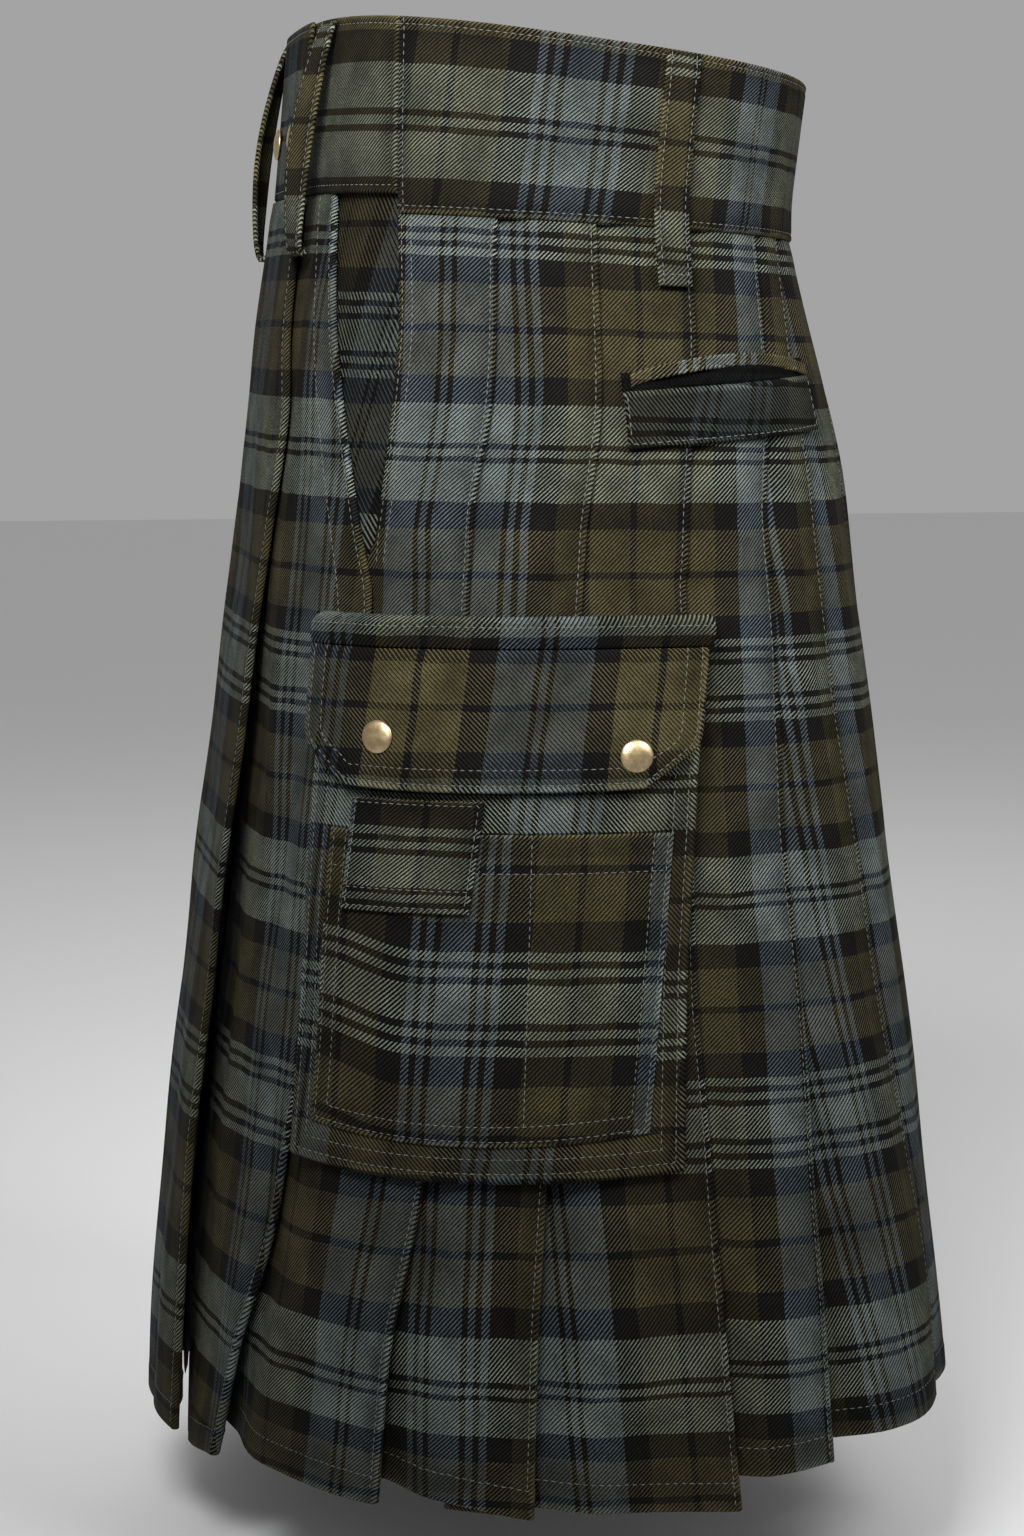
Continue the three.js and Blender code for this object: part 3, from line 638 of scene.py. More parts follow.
for index, name in enumerate(pleatNames):
    columns = foldColumns(52 if index < 3 else 46)
    wall, fromEdge, level, seam, wear = foldedPanel(
        pleatLine(index), pleat["top"], pleat["hems"][name], columns)
    high, low = pleat["warp"][name]
    warp = high + (low - high) * np.clip((-80 - level) / 400, 0, 1.25) + fromEdge
    weft = (weftFront if index < 3 else weftBack)(level)
    sewnPiece(f"pleat_SIDE_{name}", wall, warp, weft, "skirt", seam=seam, wear=wear)
print("pleats folded")

# The side-front panel, from under the apron to the slanted pocket and the first fold
sideFront = {
    "start": 22,
    "top": -38.3,
    "olive": [(-38, 80), (-94, 72), (-153, 85), (-295, 83), (-406, 86), (-494, 82), (-590, 65)],
    "stitches": (2.2, 16.0),
}


def sideLine(level):
    edge = foldWalk("side", level)
    start = sideFront["start"] + 0 * level
    return start, -0.6 * pitchAt(level), start + 12, edge, np.minimum(sideReturn(level), edge - 45)


wall, fromEdge, level, seam, wear = foldedPanel(
    sideLine, sideFront["top"], pleat["hems"]["side"], foldColumns(74))
oliveEnd = softTable(sideFront["olive"])(level)
warp = 163.7 + foldWalk("side", level) - oliveEnd + fromEdge
sewnPiece("panel_front_SIDE", wall, warp, weftFront(level), "skirt", seam=seam, wear=wear)

# The apron, with its two upright edges turned under
apron = {
    "half": [(-38, 50), (-95, 61), (-130, 67), (-160, 68), (-200, 64), (-245, 60), (-290, 58), (-340, 56),
             (-400, 54), (-590, 50)],
    "out": [(-38, 4), (-95, 4), (-130, 4), (-160, 4), (-200, 4.5), (-245, 8), (-290, 10), (-340, 12),
            (-400, 12.5), (-590, 12)],
    "turned": 16,
    "pitch": 1.95,
    "top": -38.3,
    "hem": -590,
    "across": 116,  # the usual width of its face
    "stitchIn": 3,
    "warpScale": 0.87,
}


def apronGrid():
    rows = spaced(apron["top"] - apron["hem"], 7.0, near=pleat["hemNear"], ends=(False, True))
    level = (apron["top"] + (apron["hem"] - apron["top"]) * rows)[:, None]
    half, out = softTable(apron["half"])(level), softTable(apron["out"])(level)
    r = apron["pitch"] / 2
    face = 2 * spaced(apron["across"], 4.0, near=pleat["foldNear"]) - 1
    under = np.array([1.0, 0.6, 0.25, 0.0])
    arc = np.linspace(0, np.pi, 9)[1:-1]
    turned = apron["turned"]
    parts = [(-half + r + (turned - r) * under, out - 2 * r + 0 * under),
             (-half + r - r * np.sin(arc), out - r - r * np.cos(arc)),
             ((half - r) * face, out + 0 * face),
             (half - r + r * np.sin(arc), out - r + r * np.cos(arc)),
             (half - r - (turned - r) * under[::-1], out - 2 * r + 0 * under)]
    walk = np.concatenate([np.broadcast_to(w, (len(level), w.shape[1])) for w, _ in parts], axis=1)
    outs = np.concatenate([np.broadcast_to(o, (len(level), o.shape[1])) for _, o in parts], axis=1)
    levels = np.broadcast_to(level, walk.shape)
    first = len(under) + len(arc)
    isFace = (np.arange(walk.shape[1]) >= first) & (np.arange(walk.shape[1]) < first + len(face))
    inFrom = half - np.abs(walk)
    outs = outs - 0.3 * bell(inFrom - apron["stitchIn"], 1.0) * isFace
    fromHem = levels - apron["hem"]
    outs = outs - 0.3 * bell(fromHem - pleat["hemTurn"], 1.1) * isFace
    wall = clothWall(walk, levels, outs, pleat["cloth"], hemExtra(fromHem))
    wall["face"] = np.flatnonzero(isFace)
    seam = np.maximum(bell(inFrom - 2, 5) * isFace, bell(fromHem - 10, 7))
    wear = bell(inFrom, 1.2) * isFace
    return wall, walk, levels, seam, wear


wall, walk, level, seam, wear = apronGrid()
stepAcross = np.linalg.norm(np.diff(wall["outer"], axis=1), axis=-1)
rounded = np.concatenate([np.zeros((len(walk), 1)), np.cumsum(stepAcross, axis=1)], axis=1)
rounded = rounded - rounded[:, rounded.shape[1] // 2, None]
sewnPiece("apron_front", wall, 96.4 + walk * apron["warpScale"], weftFront(level), "skirt",
          threads=(rounded, weftFront(level)), seam=seam, wear=wear, sides=())


def flatPanel(top, foot, fromAt, toAt, outAt, thickness, step=6.0, ridden=True,
              near=(0, .15, .4, .8, 1.5, 2.6), bow=0.0, groove=(), shift=None):
    width = float(np.mean(toAt(np.array([top, foot])) - fromAt(np.array([top, foot]))))
    rows = spaced(top - foot, step, near=near)[:, None]
    across = spaced(width, step, near=near)[None, :]
    level = top + (foot - top) * rows - bow * 4 * across * (1 - across) * rows
    if shift is not None:
        level = level + shift(across)
    straight = top + (foot - top) * rows
    start, end = fromAt(straight), toAt(straight)
    walk = start + (end - start) * across
    inside = np.minimum(np.minimum(walk - start, end - walk), (top - foot) * np.minimum(rows, 1 - rows))
    out = outAt(walk, level, inside) + 0 * walk
    for line in groove:
        out = out - pleat["sink"] * bell(inside - line, 0.9)
    wall = clothWall(walk, level, out, thickness, ridden=ridden)
    wall["inside"] = inside
    wall["down"], wall["across"] = rows[:, 0], across[0]
    wall["wide"], wall["high"] = width, top - foot
    return wall


# The cloth behind: the middle of the back, and the layer under the apron
behind = {"backFoot": -562, "top": -24, "foot": -570, "half": 46, "out": -4.2}
hiddenBack = flatPanel(
    pleat["top"], behind["backFoot"], lambda l: foldWalk("seven", l) - pleatDepth(6, l),
    lambda l: girth(l) - foldWalk("seven", l) + pleatDepth(6, l),
    lambda w, l, i: -pleat["gap"] - 2 * pitchAt(l), pleat["cloth"], step=9.0)
middleBack = girth(hiddenBack["level"]) / 2
sewnPiece("panel_back", hiddenBack, 289.2 + hiddenBack["walk"] - middleBack,
          weftBack(hiddenBack["level"]), "skirt", sides=())
under = flatPanel(behind["top"], behind["foot"], always(-behind["half"]), always(behind["half"]),
                  lambda w, l, i: behind["out"], pleat["cloth"], step=9.0)
sewnPiece("apron_under", under, under["walk"] + 96.4, weftFront(under["level"]), "skirt", sides=())

# The facing behind the slanted pocket opening
slash = {"top": -31, "foot": -194, "past": (8, 5), "out": -3.9}
facing = flatPanel(
    slash["top"], slash["foot"], lambda l: foldWalk("side", l) - slash["past"][0],
    lambda l: pocketShare(l) * girth(l) + slash["past"][1], lambda w, l, i: slash["out"], pleat["cloth"],
    step=5.0)
sewnPiece("slash_facing_SIDE", facing, facing["walk"] - 53.9 - (facing["level"] + 51) * 0.22,
          92 - 1.05 * facing["level"], "facing")
print("skirt done")

# Waistband
band = {
    "top": 32,
    "frontFoot": -38,
    "foot": -46,
    "thick": 3.0,
    "seam": [(32, .1461), (-46, .1568)],
    "gap": 0.3,
    "puff": 0.5,
    "stitch": 3.2,
    # warp numbers along the side band
    "warp": [(135.7, -69), (155.7, -47.6), (178.6, -29.1), (210.2, 0), (241.7, 29.1), (275.2, 66.1),
             (283.2, 77.1), (295, 96.4), (308, 115.7), (316.5, 126.7), (345, 160), (434, 262)],
    "apron": [(32, 46), (-38, 36)],
    "stitchEnd": 3,
}
seamShare = plainTable(band["seam"])


def bandWeft(level):
    return 96.4 + (-9 - level) * 0.85


def bandOut(walk, level, inside, base=0.0):
    ripple = 0.35 * np.sin(walk / 17 + level / 23) * np.cos(level / 31) + 0.25 * np.sin(walk / 7.3)
    return base + ripple * smooth(inside / 12) + band["puff"] * smooth((inside - 2) / 6) * 0.6


def bandPiece(node, foot, fromAt, toAt, warpAt, base=0.0, thick=band["thick"], sides=("left", "right")):
    wall = flatPanel(band["top"], foot, fromAt, toAt, lambda w, l, i: bandOut(w, l, i, base), thick,
                     step=4.5, ridden=False, near=(0, .2, .6, 1.1, 1.8, 2.5, 3.2, 3.9, 5),
                     groove=(band["stitch"],))
    near = wall["inside"]
    sewnPiece(node, wall, warpAt(wall["walk"]), bandWeft(wall["level"]), "band",
              threads=(wall["walk"], -wall["level"]), seam=bell(near - 3, 4.5), wear=bell(near, 1.3),
              sides=sides)


bandWarp = np.array(band["warp"], float)
bandPiece("band_front_SIDE", band["frontFoot"], always(0.6),
          lambda l: seamShare(l) * girth(l) - band["gap"] / 2, lambda w: 64 - (137 - w) * 0.24)
bandPiece("band_side_SIDE", band["foot"], lambda l: seamShare(l) * girth(l) + band["gap"] / 2,
          lambda l: girth(l) / 2 - 0.3, lambda w: np.interp(w, bandWarp[:, 0], bandWarp[:, 1]))
halfBand = plainTable(band["apron"])
bandPiece("band_apron", band["frontFoot"], lambda l: -halfBand(l), halfBand, lambda w: 96.4 + w, 3.2, 2.6,
          ())
print("waistband done")

# Belt loops: a strap along a path of levels and distances off the body
loops = {
    "breadth": 15,
    "thick": 2.4,
    "stitchIn": 2.1,
    "front": [(31, 3.2), (26, 5), (14, 6.4), (-6, 8), (-26, 8.8), (-46, 8.6), (-58, 8), (-64, 6.2), (-61, 4)],
    "twist": {"loop_front_SIDE": 5.5},
    "side": [(31, 3), (22, 4.6), (0, 5.2), (-40, 5.2), (-62, 4.4), (-71, 3)],
}


def easedPath(path, count):
    known = np.array(path, float)
    for _ in range(4):  # corner cutting
        quarter = known[:-1] * 0.75 + known[1:] * 0.25
        three = known[:-1] * 0.25 + known[1:] * 0.75
        known = np.concatenate([known[:1], np.stack([quarter, three], axis=1).reshape(-1, 2), known[-1:]])
    walked = np.concatenate([[0], np.cumsum(np.hypot(*np.diff(known, axis=0).T))])
    at = walked[-1] * spaced(walked[-1], walked[-1] / count, near=(0, .2, .5, .9, 1.5))
    return np.interp(at, walked, known[:, 0]), np.interp(at, walked, known[:, 1]), at


def loopPiece(node, walkAt, path, warpMiddle, sides):
    level, out, along = easedPath(path, 46)
    breadth, half = loops["breadth"], loops["breadth"] / 2
    across = breadth * (spaced(breadth, 1.6, near=(0, .2, .5, .9, 1.5, 2.2)) - 0.5)[None, :]
    inside = half - np.abs(across)
    walk = walkAt(level)[:, None] + across
    levels = np.broadcast_to(level[:, None], walk.shape)
    crown = 0.25 * (1 - (across / half) ** 2) - 0.22 * bell(inside - loops["stitchIn"], 0.7)
    twist = loops["twist"].get(node, 0) * np.sin(np.pi * along / along[-1])[:, None]
    crown = crown + twist * (half - across) / breadth
    wall = clothWall(walk, levels, out[:, None] + crown, loops["thick"], ridden=False)
    wall["down"], wall["across"] = along / along[-1], across[0] / breadth + 0.5
    wall["wide"], wall["high"] = breadth, along[-1]
    sewnPiece(node, wall, warpMiddle + across + 0 * walk, 200 + along[:, None] + 0 * walk, "band",
              wear=bell(inside, 1.0), seam=bell(inside - loops["stitchIn"], 1.5), sides=sides)


loopPiece("loop_front_SIDE", lambda l: 73 + 0.06 * (l + 10), loops["front"], 57, ("left", "right"))
loopPiece("loop_side_SIDE", lambda l: 0.289 * girth(l), loops["side"], 62, ("left", "right"))
loopPiece("loop_back", lambda l: girth(l) / 2, loops["side"], 62, ())
print("loops done")

# The cargo pocket
cargo = {
    "top": -224.3,
    "foot": -442,
    "sides": [(-211, 132.5, 300.5), (-281, 135.5, 303), (-360, 140, 309), (-442, 144.5, 319.5)],
    "face": 7.45,  # the middle of the front cloth, off the skirt
    "slack": 0.9,
    "flapTop": -211,
    "flapFoot": -223,
    "flapEnd": -281,
    "flapNear": (0, .15, .4, .8, 1.5, 2.2, 3, 3.8, 6, 8, 9, 10),
    "flapWide": 165,
    "chamfer": 17,
    "slant": 1.35,  # how fast the cut corner runs in
    "flapOut": 11.3,
    "stitches": (3.0, 9.0),
}
foreSide, aftSide = (softTable(cargo["sides"], column) for column in (1, 2))


def bagOut(walk, level):
    start, end = foreSide(level), aftSide(level)
    across = np.clip((walk - start) / (end - start), 0, 1)
    foot = cargo["foot"] - 16 * across * (1 - across) * smooth((-224 - level) / 218)
    inside = np.minimum(np.minimum(walk - start, end - walk), level - foot)
    wall = np.sqrt(1 - (1 - np.clip(inside / 2.6, 0, 1)) ** 2)
    slack = cargo["slack"] * np.sin(across * 9.5 + level / 26) * smooth(inside / 30)
    return 2.3 + (cargo["face"] - 2.3) * wall + slack


bag = flatPanel(cargo["top"], cargo["foot"], foreSide, aftSide, lambda w, l, i: bagOut(w, l),
                pleat["cloth"], step=4.5,
                near=(0, .12, .35, .7, 1.2, 1.9, 2.6, 3.4, 5, 8, 9, 10), bow=4)
sewnPiece("cargo_bag_SIDE", bag, bag["walk"] - 244.5, 376.5 + bag["level"], "bag",
          seam=bell(bag["inside"] - 6, 5), wear=bell(bag["inside"] - 2.4, 1.3))

patch = {
    "top": -300,
    "foot": -425,
    "fore": [(-300, 151.5), (-425, 157)],
    "aft": [(-300, 294.5), (-425, 301.5)],
    "lift": 1.6,
    "warp": 213,
    "weft": -370.5,
}
onBag = flatPanel(patch["top"], patch["foot"], plainTable(patch["fore"]), plainTable(patch["aft"]),
                  lambda w, l, i: bagOut(w, l) + patch["lift"], pleat["cloth"], step=4.5, bow=5,
                  near=(0, .15, .4, .8, 1.5, 2.2, 3, 5, 8, 9, 10), groove=(2.2, 9))
bend = 8 * smooth((200 - onBag["walk"]) / 45)
sewnPiece("cargo_patch_SIDE", onBag, onBag["walk"] - patch["warp"] + (onBag["level"] + 355) * 0.06,
          (patch["weft"] + bend - onBag["level"]) / 1.17, "bag",
          seam=bell(onBag["inside"] - 5, 5), wear=bell(onBag["inside"], 1.3))

tab = {"top": -286, "foot": -333, "fore": [(-286, 161.5), (-333, 163.5)], "aft": 215.5, "lift": 2.0}
tabOn = flatPanel(
    tab["top"], tab["foot"], plainTable(tab["fore"]), always(tab["aft"]),
    lambda w, l, i: bagOut(w, l) + patch["lift"] + tab["lift"] + 0.8 * smooth((patch["top"] - l) / 33),
    2.0, step=3.5, near=(0, .15, .4, .8, 1.5, 2.2, 3, 5))
sewnPiece("cargo_tab_SIDE", tabOn, tabOn["walk"] - 241.5, -tabOn["level"] - 316, "bag",
          seam=bell(tabOn["inside"] - 3, 4), wear=bell(tabOn["inside"], 1.3))


def flapGrid():
    top, foot, slant = cargo["flapFoot"] - 0.3, cargo["flapEnd"], cargo["slant"]
    height = top - foot
    rows = spaced(height, 3.5, near=cargo["flapNear"])[:, None]
    across = spaced(cargo["flapWide"], 4.5, near=cargo["flapNear"])[None, :]
    past = height * rows - (height - cargo["chamfer"])
    cut = slant * (np.sqrt(past ** 2 + 9) + past) / 2 - 0.1
    straight = top - height * rows
    start, end = foreSide(straight) + cut, aftSide(straight) - 1 - cut
    walk = start + (end - start) * across
    level = straight - 1.5 * 4 * across * (1 - across) * rows
    sideIn = np.minimum(walk - foreSide(level), aftSide(level) - 1 - walk)
    footIn = level - (foot - 6 * across * (1 - across))
    corner = (sideIn + slant * (footIn - cargo["chamfer"])) / 1.68  # measured square to the cut
    inside = np.minimum(np.minimum(sideIn, footIn), corner)
    topIn = top - level
    out = cargo["flapOut"] + 0.7 * np.sin(across * 7.5 + 0.6) * smooth(topIn / 30)
    out = out - 0.9 * bell(topIn, 2.5)
    out = out + 1.4 * bell(inside, 10) * smooth(topIn / 45)  # the lower edge stands off a little
    out = out - 0.8 * bell(walk - 201, 22) * bell(level + 246, 11)
    for line in cargo["stitches"]:
        out = out - 0.3 * bell(inside - line, 0.8)
    out = out + 0.25 * bell(inside - 6, 2.2)
    wall = clothWall(walk, level, out, 2.6)
    wall["inside"], wall["down"], wall["across"] = inside, rows[:, 0], across[0]
    wall["wide"], wall["high"] = cargo["flapWide"], height
    return wall


flap = flapGrid()
sewnPiece("cargo_flap_SIDE", flap, 96.4 + flap["walk"] - 232.5, -199.4 - flap["level"], "flap",
          seam=bell(flap["inside"] - 6, 4), wear=bell(flap["inside"] - 1, 1.6))


def flapBandOut(walk, level, inside):
    down = np.clip((cargo["flapTop"] - level) / 12, 0, 1)
    turned = np.sin(np.pi / 2 * np.clip(down / 0.3, 0, 1)) ** 0.8
    return 3.6 + 6.6 * turned + 0.5 * np.sin(np.pi * down) - 0.9 * smooth((down - .8) / .2)


flapBand = flatPanel(cargo["flapTop"], cargo["flapFoot"], lambda l: foreSide(l) - 1,
                     lambda l: aftSide(l) + 1, flapBandOut, 3.2, step=1.2, near=(0, .15, .4, .8, 1.5))
sewnPiece("cargo_flap_band_SIDE", flapBand, 96.4 + flapBand["walk"] - 232.5, 84 + (flapBand["level"] + 211),
          "flapBand", wear=0.7 * bell(flapBand["inside"] - 1.0, 1.0))
print("cargo pocket done")

# The welted back pocket: a strip that leans up toward the back, under an arched lip
welt = {
    "top": -112,
    "foot": -136,
    "fore": 0.261,  # shares of the girth
    "aft": 0.362,
    "lipTop": -104.5,
    "lean": 9,
    "arch": 7.5,
    "recess": 8.0,  # the upper part, sunk behind the lip and the folded edge of the strip, and darkened there with painted shade
    "near": (0, .15, .4, .8, 1.5, 2.2, 3, 7, 7.6, 8, 8.4, 8.7, 9, 9.4, 10, 11),
}


def lipOut(walk, level, inside):
    down = np.clip((welt["lipTop"] - level) / 4.5, 0, 1)
    across = (walk / girth(level) - welt["fore"] - .012) / (welt["aft"] - welt["fore"] - .009)
    return 1.8 + 3.6 * down ** 0.6 * np.sin(np.pi * np.clip(across, 0, 1)) ** 0.6


lip = flatPanel(
    welt["lipTop"], welt["top"] + 2, lambda l: (welt["fore"] + .004) * girth(l),
    lambda l: (welt["aft"] + .003) * girth(l), lipOut, 2.2, step=1.5, near=(0, .15, .4, .8, 1.5),
    shift=lambda a: welt["lean"] * (a - 0.5) + welt["arch"] * np.sin(np.pi * a) ** 0.8 - 3 * a)
lips = sewnPiece("welt_lip_SIDE", lip, lip["walk"] - 290, weftBack(lip["level"]), "skirt",
                 wear=bell(lip["inside"], 1.5))
weltHigh = welt["top"] + welt["recess"] - welt["foot"]
stripIn = (spaced(weltHigh, 3.0, near=welt["near"]) * weltHigh)[:, None] - welt["recess"]
strip = flatPanel(
    welt["top"] + welt["recess"], welt["foot"], lambda l: welt["fore"] * girth(l),
    lambda l: welt["aft"] * girth(l), lambda w, l, i: 0.9 + 1.7 * smooth((stripIn - 0.4) / 0.9) + 0 * w,
    1.9, step=3.0, near=welt["near"], shift=lambda a: welt["lean"] * (a - 0.5))
stripIn = stripIn + 0 * strip["walk"]
sewnPiece("welt_SIDE", strip, strip["walk"] - 300, -120 - strip["level"], "welt",
          # painted highlight: the raised wear mark lightens the strip's folded top edge
          wear=bell(stripIn - 1.2, 1.1) * 1.6 + 0.5 * bell(strip["inside"], 1.3),
          # painted shade: the seam mark at 2.6 darkens the recess under the lip
          seam=2.6 * (1 - smooth((stripIn + 1.0) / 1.2)))


# Snap caps, turned about their own middle
snaps = {
    "radius": 7.2,
    "profile": [(0, 2.75), (.25, 2.68), (.48, 2.5), (.66, 2.2), (.8, 1.85), (.9, 1.5), (.97, 1.1), (1.0, .72),
                (.985, .4), (.94, .15), (.86, 0), (.5, 0), (0, 0)],
    "turns": 40,
    "places": {"snap_flap_fore_SIDE": (171, -260, 12.9), "snap_flap_aft_SIDE": (274, -267.5, 12.9),
               "snap_front_SIDE": (27, -14, 5.0)},
}


def snapCap(node, walk, level, out):
    foot = skinPoint(walk, level, out + (relief(np.array(walk), np.array(level)) if "flap" in node else 0))
    along = skinPoint(walk + 3, level, out) - skinPoint(walk - 3, level, out)
    up = skinPoint(walk, level + 3, out) - skinPoint(walk, level - 3, out)
    outward = np.cross(along, up)
    outward, along = outward / np.linalg.norm(outward), along / np.linalg.norm(along)
    up = np.cross(outward, along)
    count = snaps["turns"]
    turns = np.linspace(0, 2 * np.pi, count, endpoint=False)
    circle = snaps["radius"] * (np.cos(turns)[:, None] * along + np.sin(turns)[:, None] * up)
    rings = [foot + outward * h + r * circle for r, h in snaps["profile"][1:-1]]
    points = np.concatenate([*rings, [foot + outward * snaps["profile"][0][1]], [foot]])
    faces, last = [], len(points) - 1
    for i in range(len(rings) - 1):
        for j in range(count):
            k = (j + 1) % count
            faces.append((i * count + j, (i + 1) * count + j, (i + 1) * count + k, i * count + k))
    base = (len(rings) - 1) * count
    faces += [(last - 1, j, (j + 1) % count) for j in range(count)]
    faces += [(last, base + (j + 1) % count, base + j) for j in range(count)]
    for side, sign in (("left", 1), ("right", -1)):
        full = node.replace("SIDE", side)
        mesh = bpy.data.meshes.new(full)
        order = faces if sign > 0 else [face[::-1] for face in faces]
        mesh.from_pydata((points * [0.001 * sign, 0.001, 0.001]).tolist(), [], order)
        shadeSmooth(mesh)
        mesh.materials.append(brass)
        made = added("brass_" + full, mesh)
        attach(made, "root")
        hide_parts(full)


for node, (walk, level, out) in snaps["places"].items():
    snapCap(node, walk, level, out)
print("snaps done")

# Stitches: runs of points on the finished cloth, each with the direction off the cloth
stitch = {
    "pitch": 3.4,
    "length": 2.5,
    "width": 0.5,
    "height": 0.34,
    "lift": 0.05,
    "seed": 11,
}
runs = {"skirt": [], "band": [], "pocket": []}


def onGrid(wall, rows, columns, face=None):
    table = np.concatenate([wall["outer"], wall["normal"]], axis=-1)
    if face is not None:
        table = table[:, face]
    r = np.clip(np.floor(rows).astype(int), 0, table.shape[0] - 2)
    c = np.clip(np.floor(columns).astype(int), 0, table.shape[1] - 2)
    a, b = (rows - r)[:, None], (columns - c)[:, None]
    found = ((table[r, c] * (1 - b) + table[r, c + 1] * b) * (1 - a)
             + (table[r + 1, c] * (1 - b) + table[r + 1, c + 1] * b) * a)
    return found[:, :3] + found[:, 3:] * stitch["lift"], found[:, 3:]


def densely(marks, step=0.02):  # a path of (across, down) marks with points between them
    path = [marks[0]]
    for before, after in zip(marks, marks[1:]):
        count = max(2, int(np.hypot(after[0] - before[0], after[1] - before[1]) / step))
        path += [tuple(np.add(before, np.subtract(after, before) * i / count)) for i in range(1, count + 1)]
    return np.array(path)


def sewAcross(group, wall, marks):
    path = densely(marks)
    rows = np.interp(path[:, 1], wall["down"], np.arange(len(wall["down"])))
    columns = np.interp(path[:, 0], wall["across"], np.arange(len(wall["across"])))
    runs[group].append((*onGrid(wall, rows, columns), wall.get("middle", False)))


def sewFold(group, node, walkAt, levels, middle=False):
    wall = pieces[node]
    face = wall["face"]
    walks, heights = wall["walk"][:, face], wall["level"][:, face]
    rows, columns = [], []
    for level in levels:
        column = len(face) / 2
        for _ in range(3):
            left = int(np.clip(column, 0, len(face) - 2))
            part = column - left
            row = np.interp(-level, -(heights[:, left] * (1 - part) + heights[:, left + 1] * part),
                            np.arange(len(heights)))
            upper = int(np.clip(row, 0, len(heights) - 2))
            part = row - upper
            column = np.interp(walkAt(level), walks[upper] * (1 - part) + walks[upper + 1] * part,
                               np.arange(len(face)))
        rows.append(row)
        columns.append(column)
    runs[group].append((*onGrid(wall, np.array(rows), np.array(columns), face), middle))


def sewHem(group, node, inward, middle=False):  # along the hem, from the covered end to the fold edge
    wall = pieces[node]
    face = wall["face"]
    drop = wall["level"][0, face[0]] - wall["level"][-1, face]
    columns = np.arange(0, len(face) - 1.0, 0.5)
    at = np.interp(columns, np.arange(len(face)), drop)
    rows = []
    for column, long in zip(columns, at):
        index = int(round(column))
        rows.append(np.interp(long - inward, wall["level"][0, face[index]] - wall["level"][:, face[index]],
                              np.arange(len(wall["level"]))))
    runs[group].append((*onGrid(wall, np.array(rows), columns, face), middle))


for name in pleatNames:
    low = max(pleat["hems"][name])
    sewFold("skirt", f"pleat_SIDE_{name}", lambda level, n=name: foldWalk(n, level) - pleat["stitchIn"],
            np.arange(-48, low, -5.0))
    sewHem("skirt", f"pleat_SIDE_{name}", pleat["hemTurn"])
sewHem("skirt", "panel_front_SIDE", pleat["hemTurn"])
sewFold("skirt", "panel_front_SIDE", lambda level: foldWalk("side", level) - sideFront["stitches"][0],
        np.arange(-40, -590, -5.0))
sewFold("skirt", "panel_front_SIDE", lambda level: foldWalk("side", level) - sideFront["stitches"][1],
        np.arange(-40, -212, -5.0))
for inward in (1.8, 6.5):
    sewFold("skirt", "pleat_SIDE_one", lambda level, d=inward: pocketShare(level) * girth(level) + d,
            np.arange(-48, -192, -5.0))
apronHalf = softTable(apron["half"])
for sign in (-1, 1):
    sewFold("skirt", "apron_front", lambda level, k=sign: k * (apronHalf(level) - apron["stitchIn"]),
            np.arange(-40, -588, -6.0), True)
sewHem("skirt", "apron_front", pleat["hemTurn"], True)


def boxRun(wall, inward, topless=False):  # round a panel, or up both sides and along its foot
    x, y = inward / wall["wide"], inward / wall["high"]
    top = 0.01 if topless else y
    marks = [(x, top), (x, 1 - y), (1 - x, 1 - y), (1 - x, top)]
    sewAcross("pocket", wall, marks if topless else marks + [marks[0]])


for node in ("band_front_SIDE", "band_side_SIDE", "band_apron"):
    wall = pieces[node]
    wall["middle"] = "SIDE" not in node
    for inward in (band["stitch"], wall["high"] - band["stitch"]):
        y = inward / wall["high"]
        sewAcross("band", wall, [(0.004, y), (0.996, y)])
    if node == "band_side_SIDE":
        x = band["stitchEnd"] / wall["wide"]
        sewAcross("band", wall, [(x, 0.02), (x, 0.98)])
for node in ("loop_front_SIDE", "loop_side_SIDE", "loop_back"):
    wall = pieces[node]
    wall["middle"] = "SIDE" not in node
    for inward in (loops["stitchIn"], loops["breadth"] - loops["stitchIn"]):
        x = inward / loops["breadth"]
        sewAcross("band", wall, [(x, 0.02), (x, 0.98)])
    for y in (0.035, 0.95):
        sewAcross("band", wall, [(0.14, y), (0.86, y)])
for inward in cargo["stitches"]:
    boxRun(pieces["cargo_bag_SIDE"], inward + 1.5, True)
    boxRun(pieces["cargo_patch_SIDE"], inward - 0.8, True)
sewAcross("pocket", pieces["cargo_patch_SIDE"], [(0.03, 0.125), (0.97, 0.125)])
sewAcross("pocket", pieces["cargo_patch_SIDE"], [(0.59, 0.01), (0.64, 0.93)])
boxRun(pieces["cargo_tab_SIDE"], 2.0)
sewAcross("pocket", pieces["cargo_tab_SIDE"], [(0.05, 0.8), (0.95, 0.8)])
flapWall = pieces["cargo_flap_SIDE"]
for inward in cargo["stitches"]:
    path = []
    for down in (0.02, 0.25, 0.5, 0.62, 0.7, 0.78, 0.86, 0.93, 1 - inward / flapWall["high"]):
        past = down * flapWall["high"] - (flapWall["high"] - cargo["chamfer"])
        aside = inward * (1 + 0.68 * float(smooth((past + 3) / 6)))
        path.append((aside / flapWall["wide"], min(down, 1 - inward / flapWall["high"])))
    path += [(1 - x, y) for x, y in reversed(path)]
    sewAcross("pocket", flapWall, path)
sewAcross("pocket", pieces["cargo_flap_band_SIDE"], [(0.01, 0.3), (0.99, 0.3)])
sewAcross("pocket", pieces["welt_SIDE"], [(0.012, 0.36), (0.012, 0.94), (0.988, 0.94), (0.988, 0.36)])

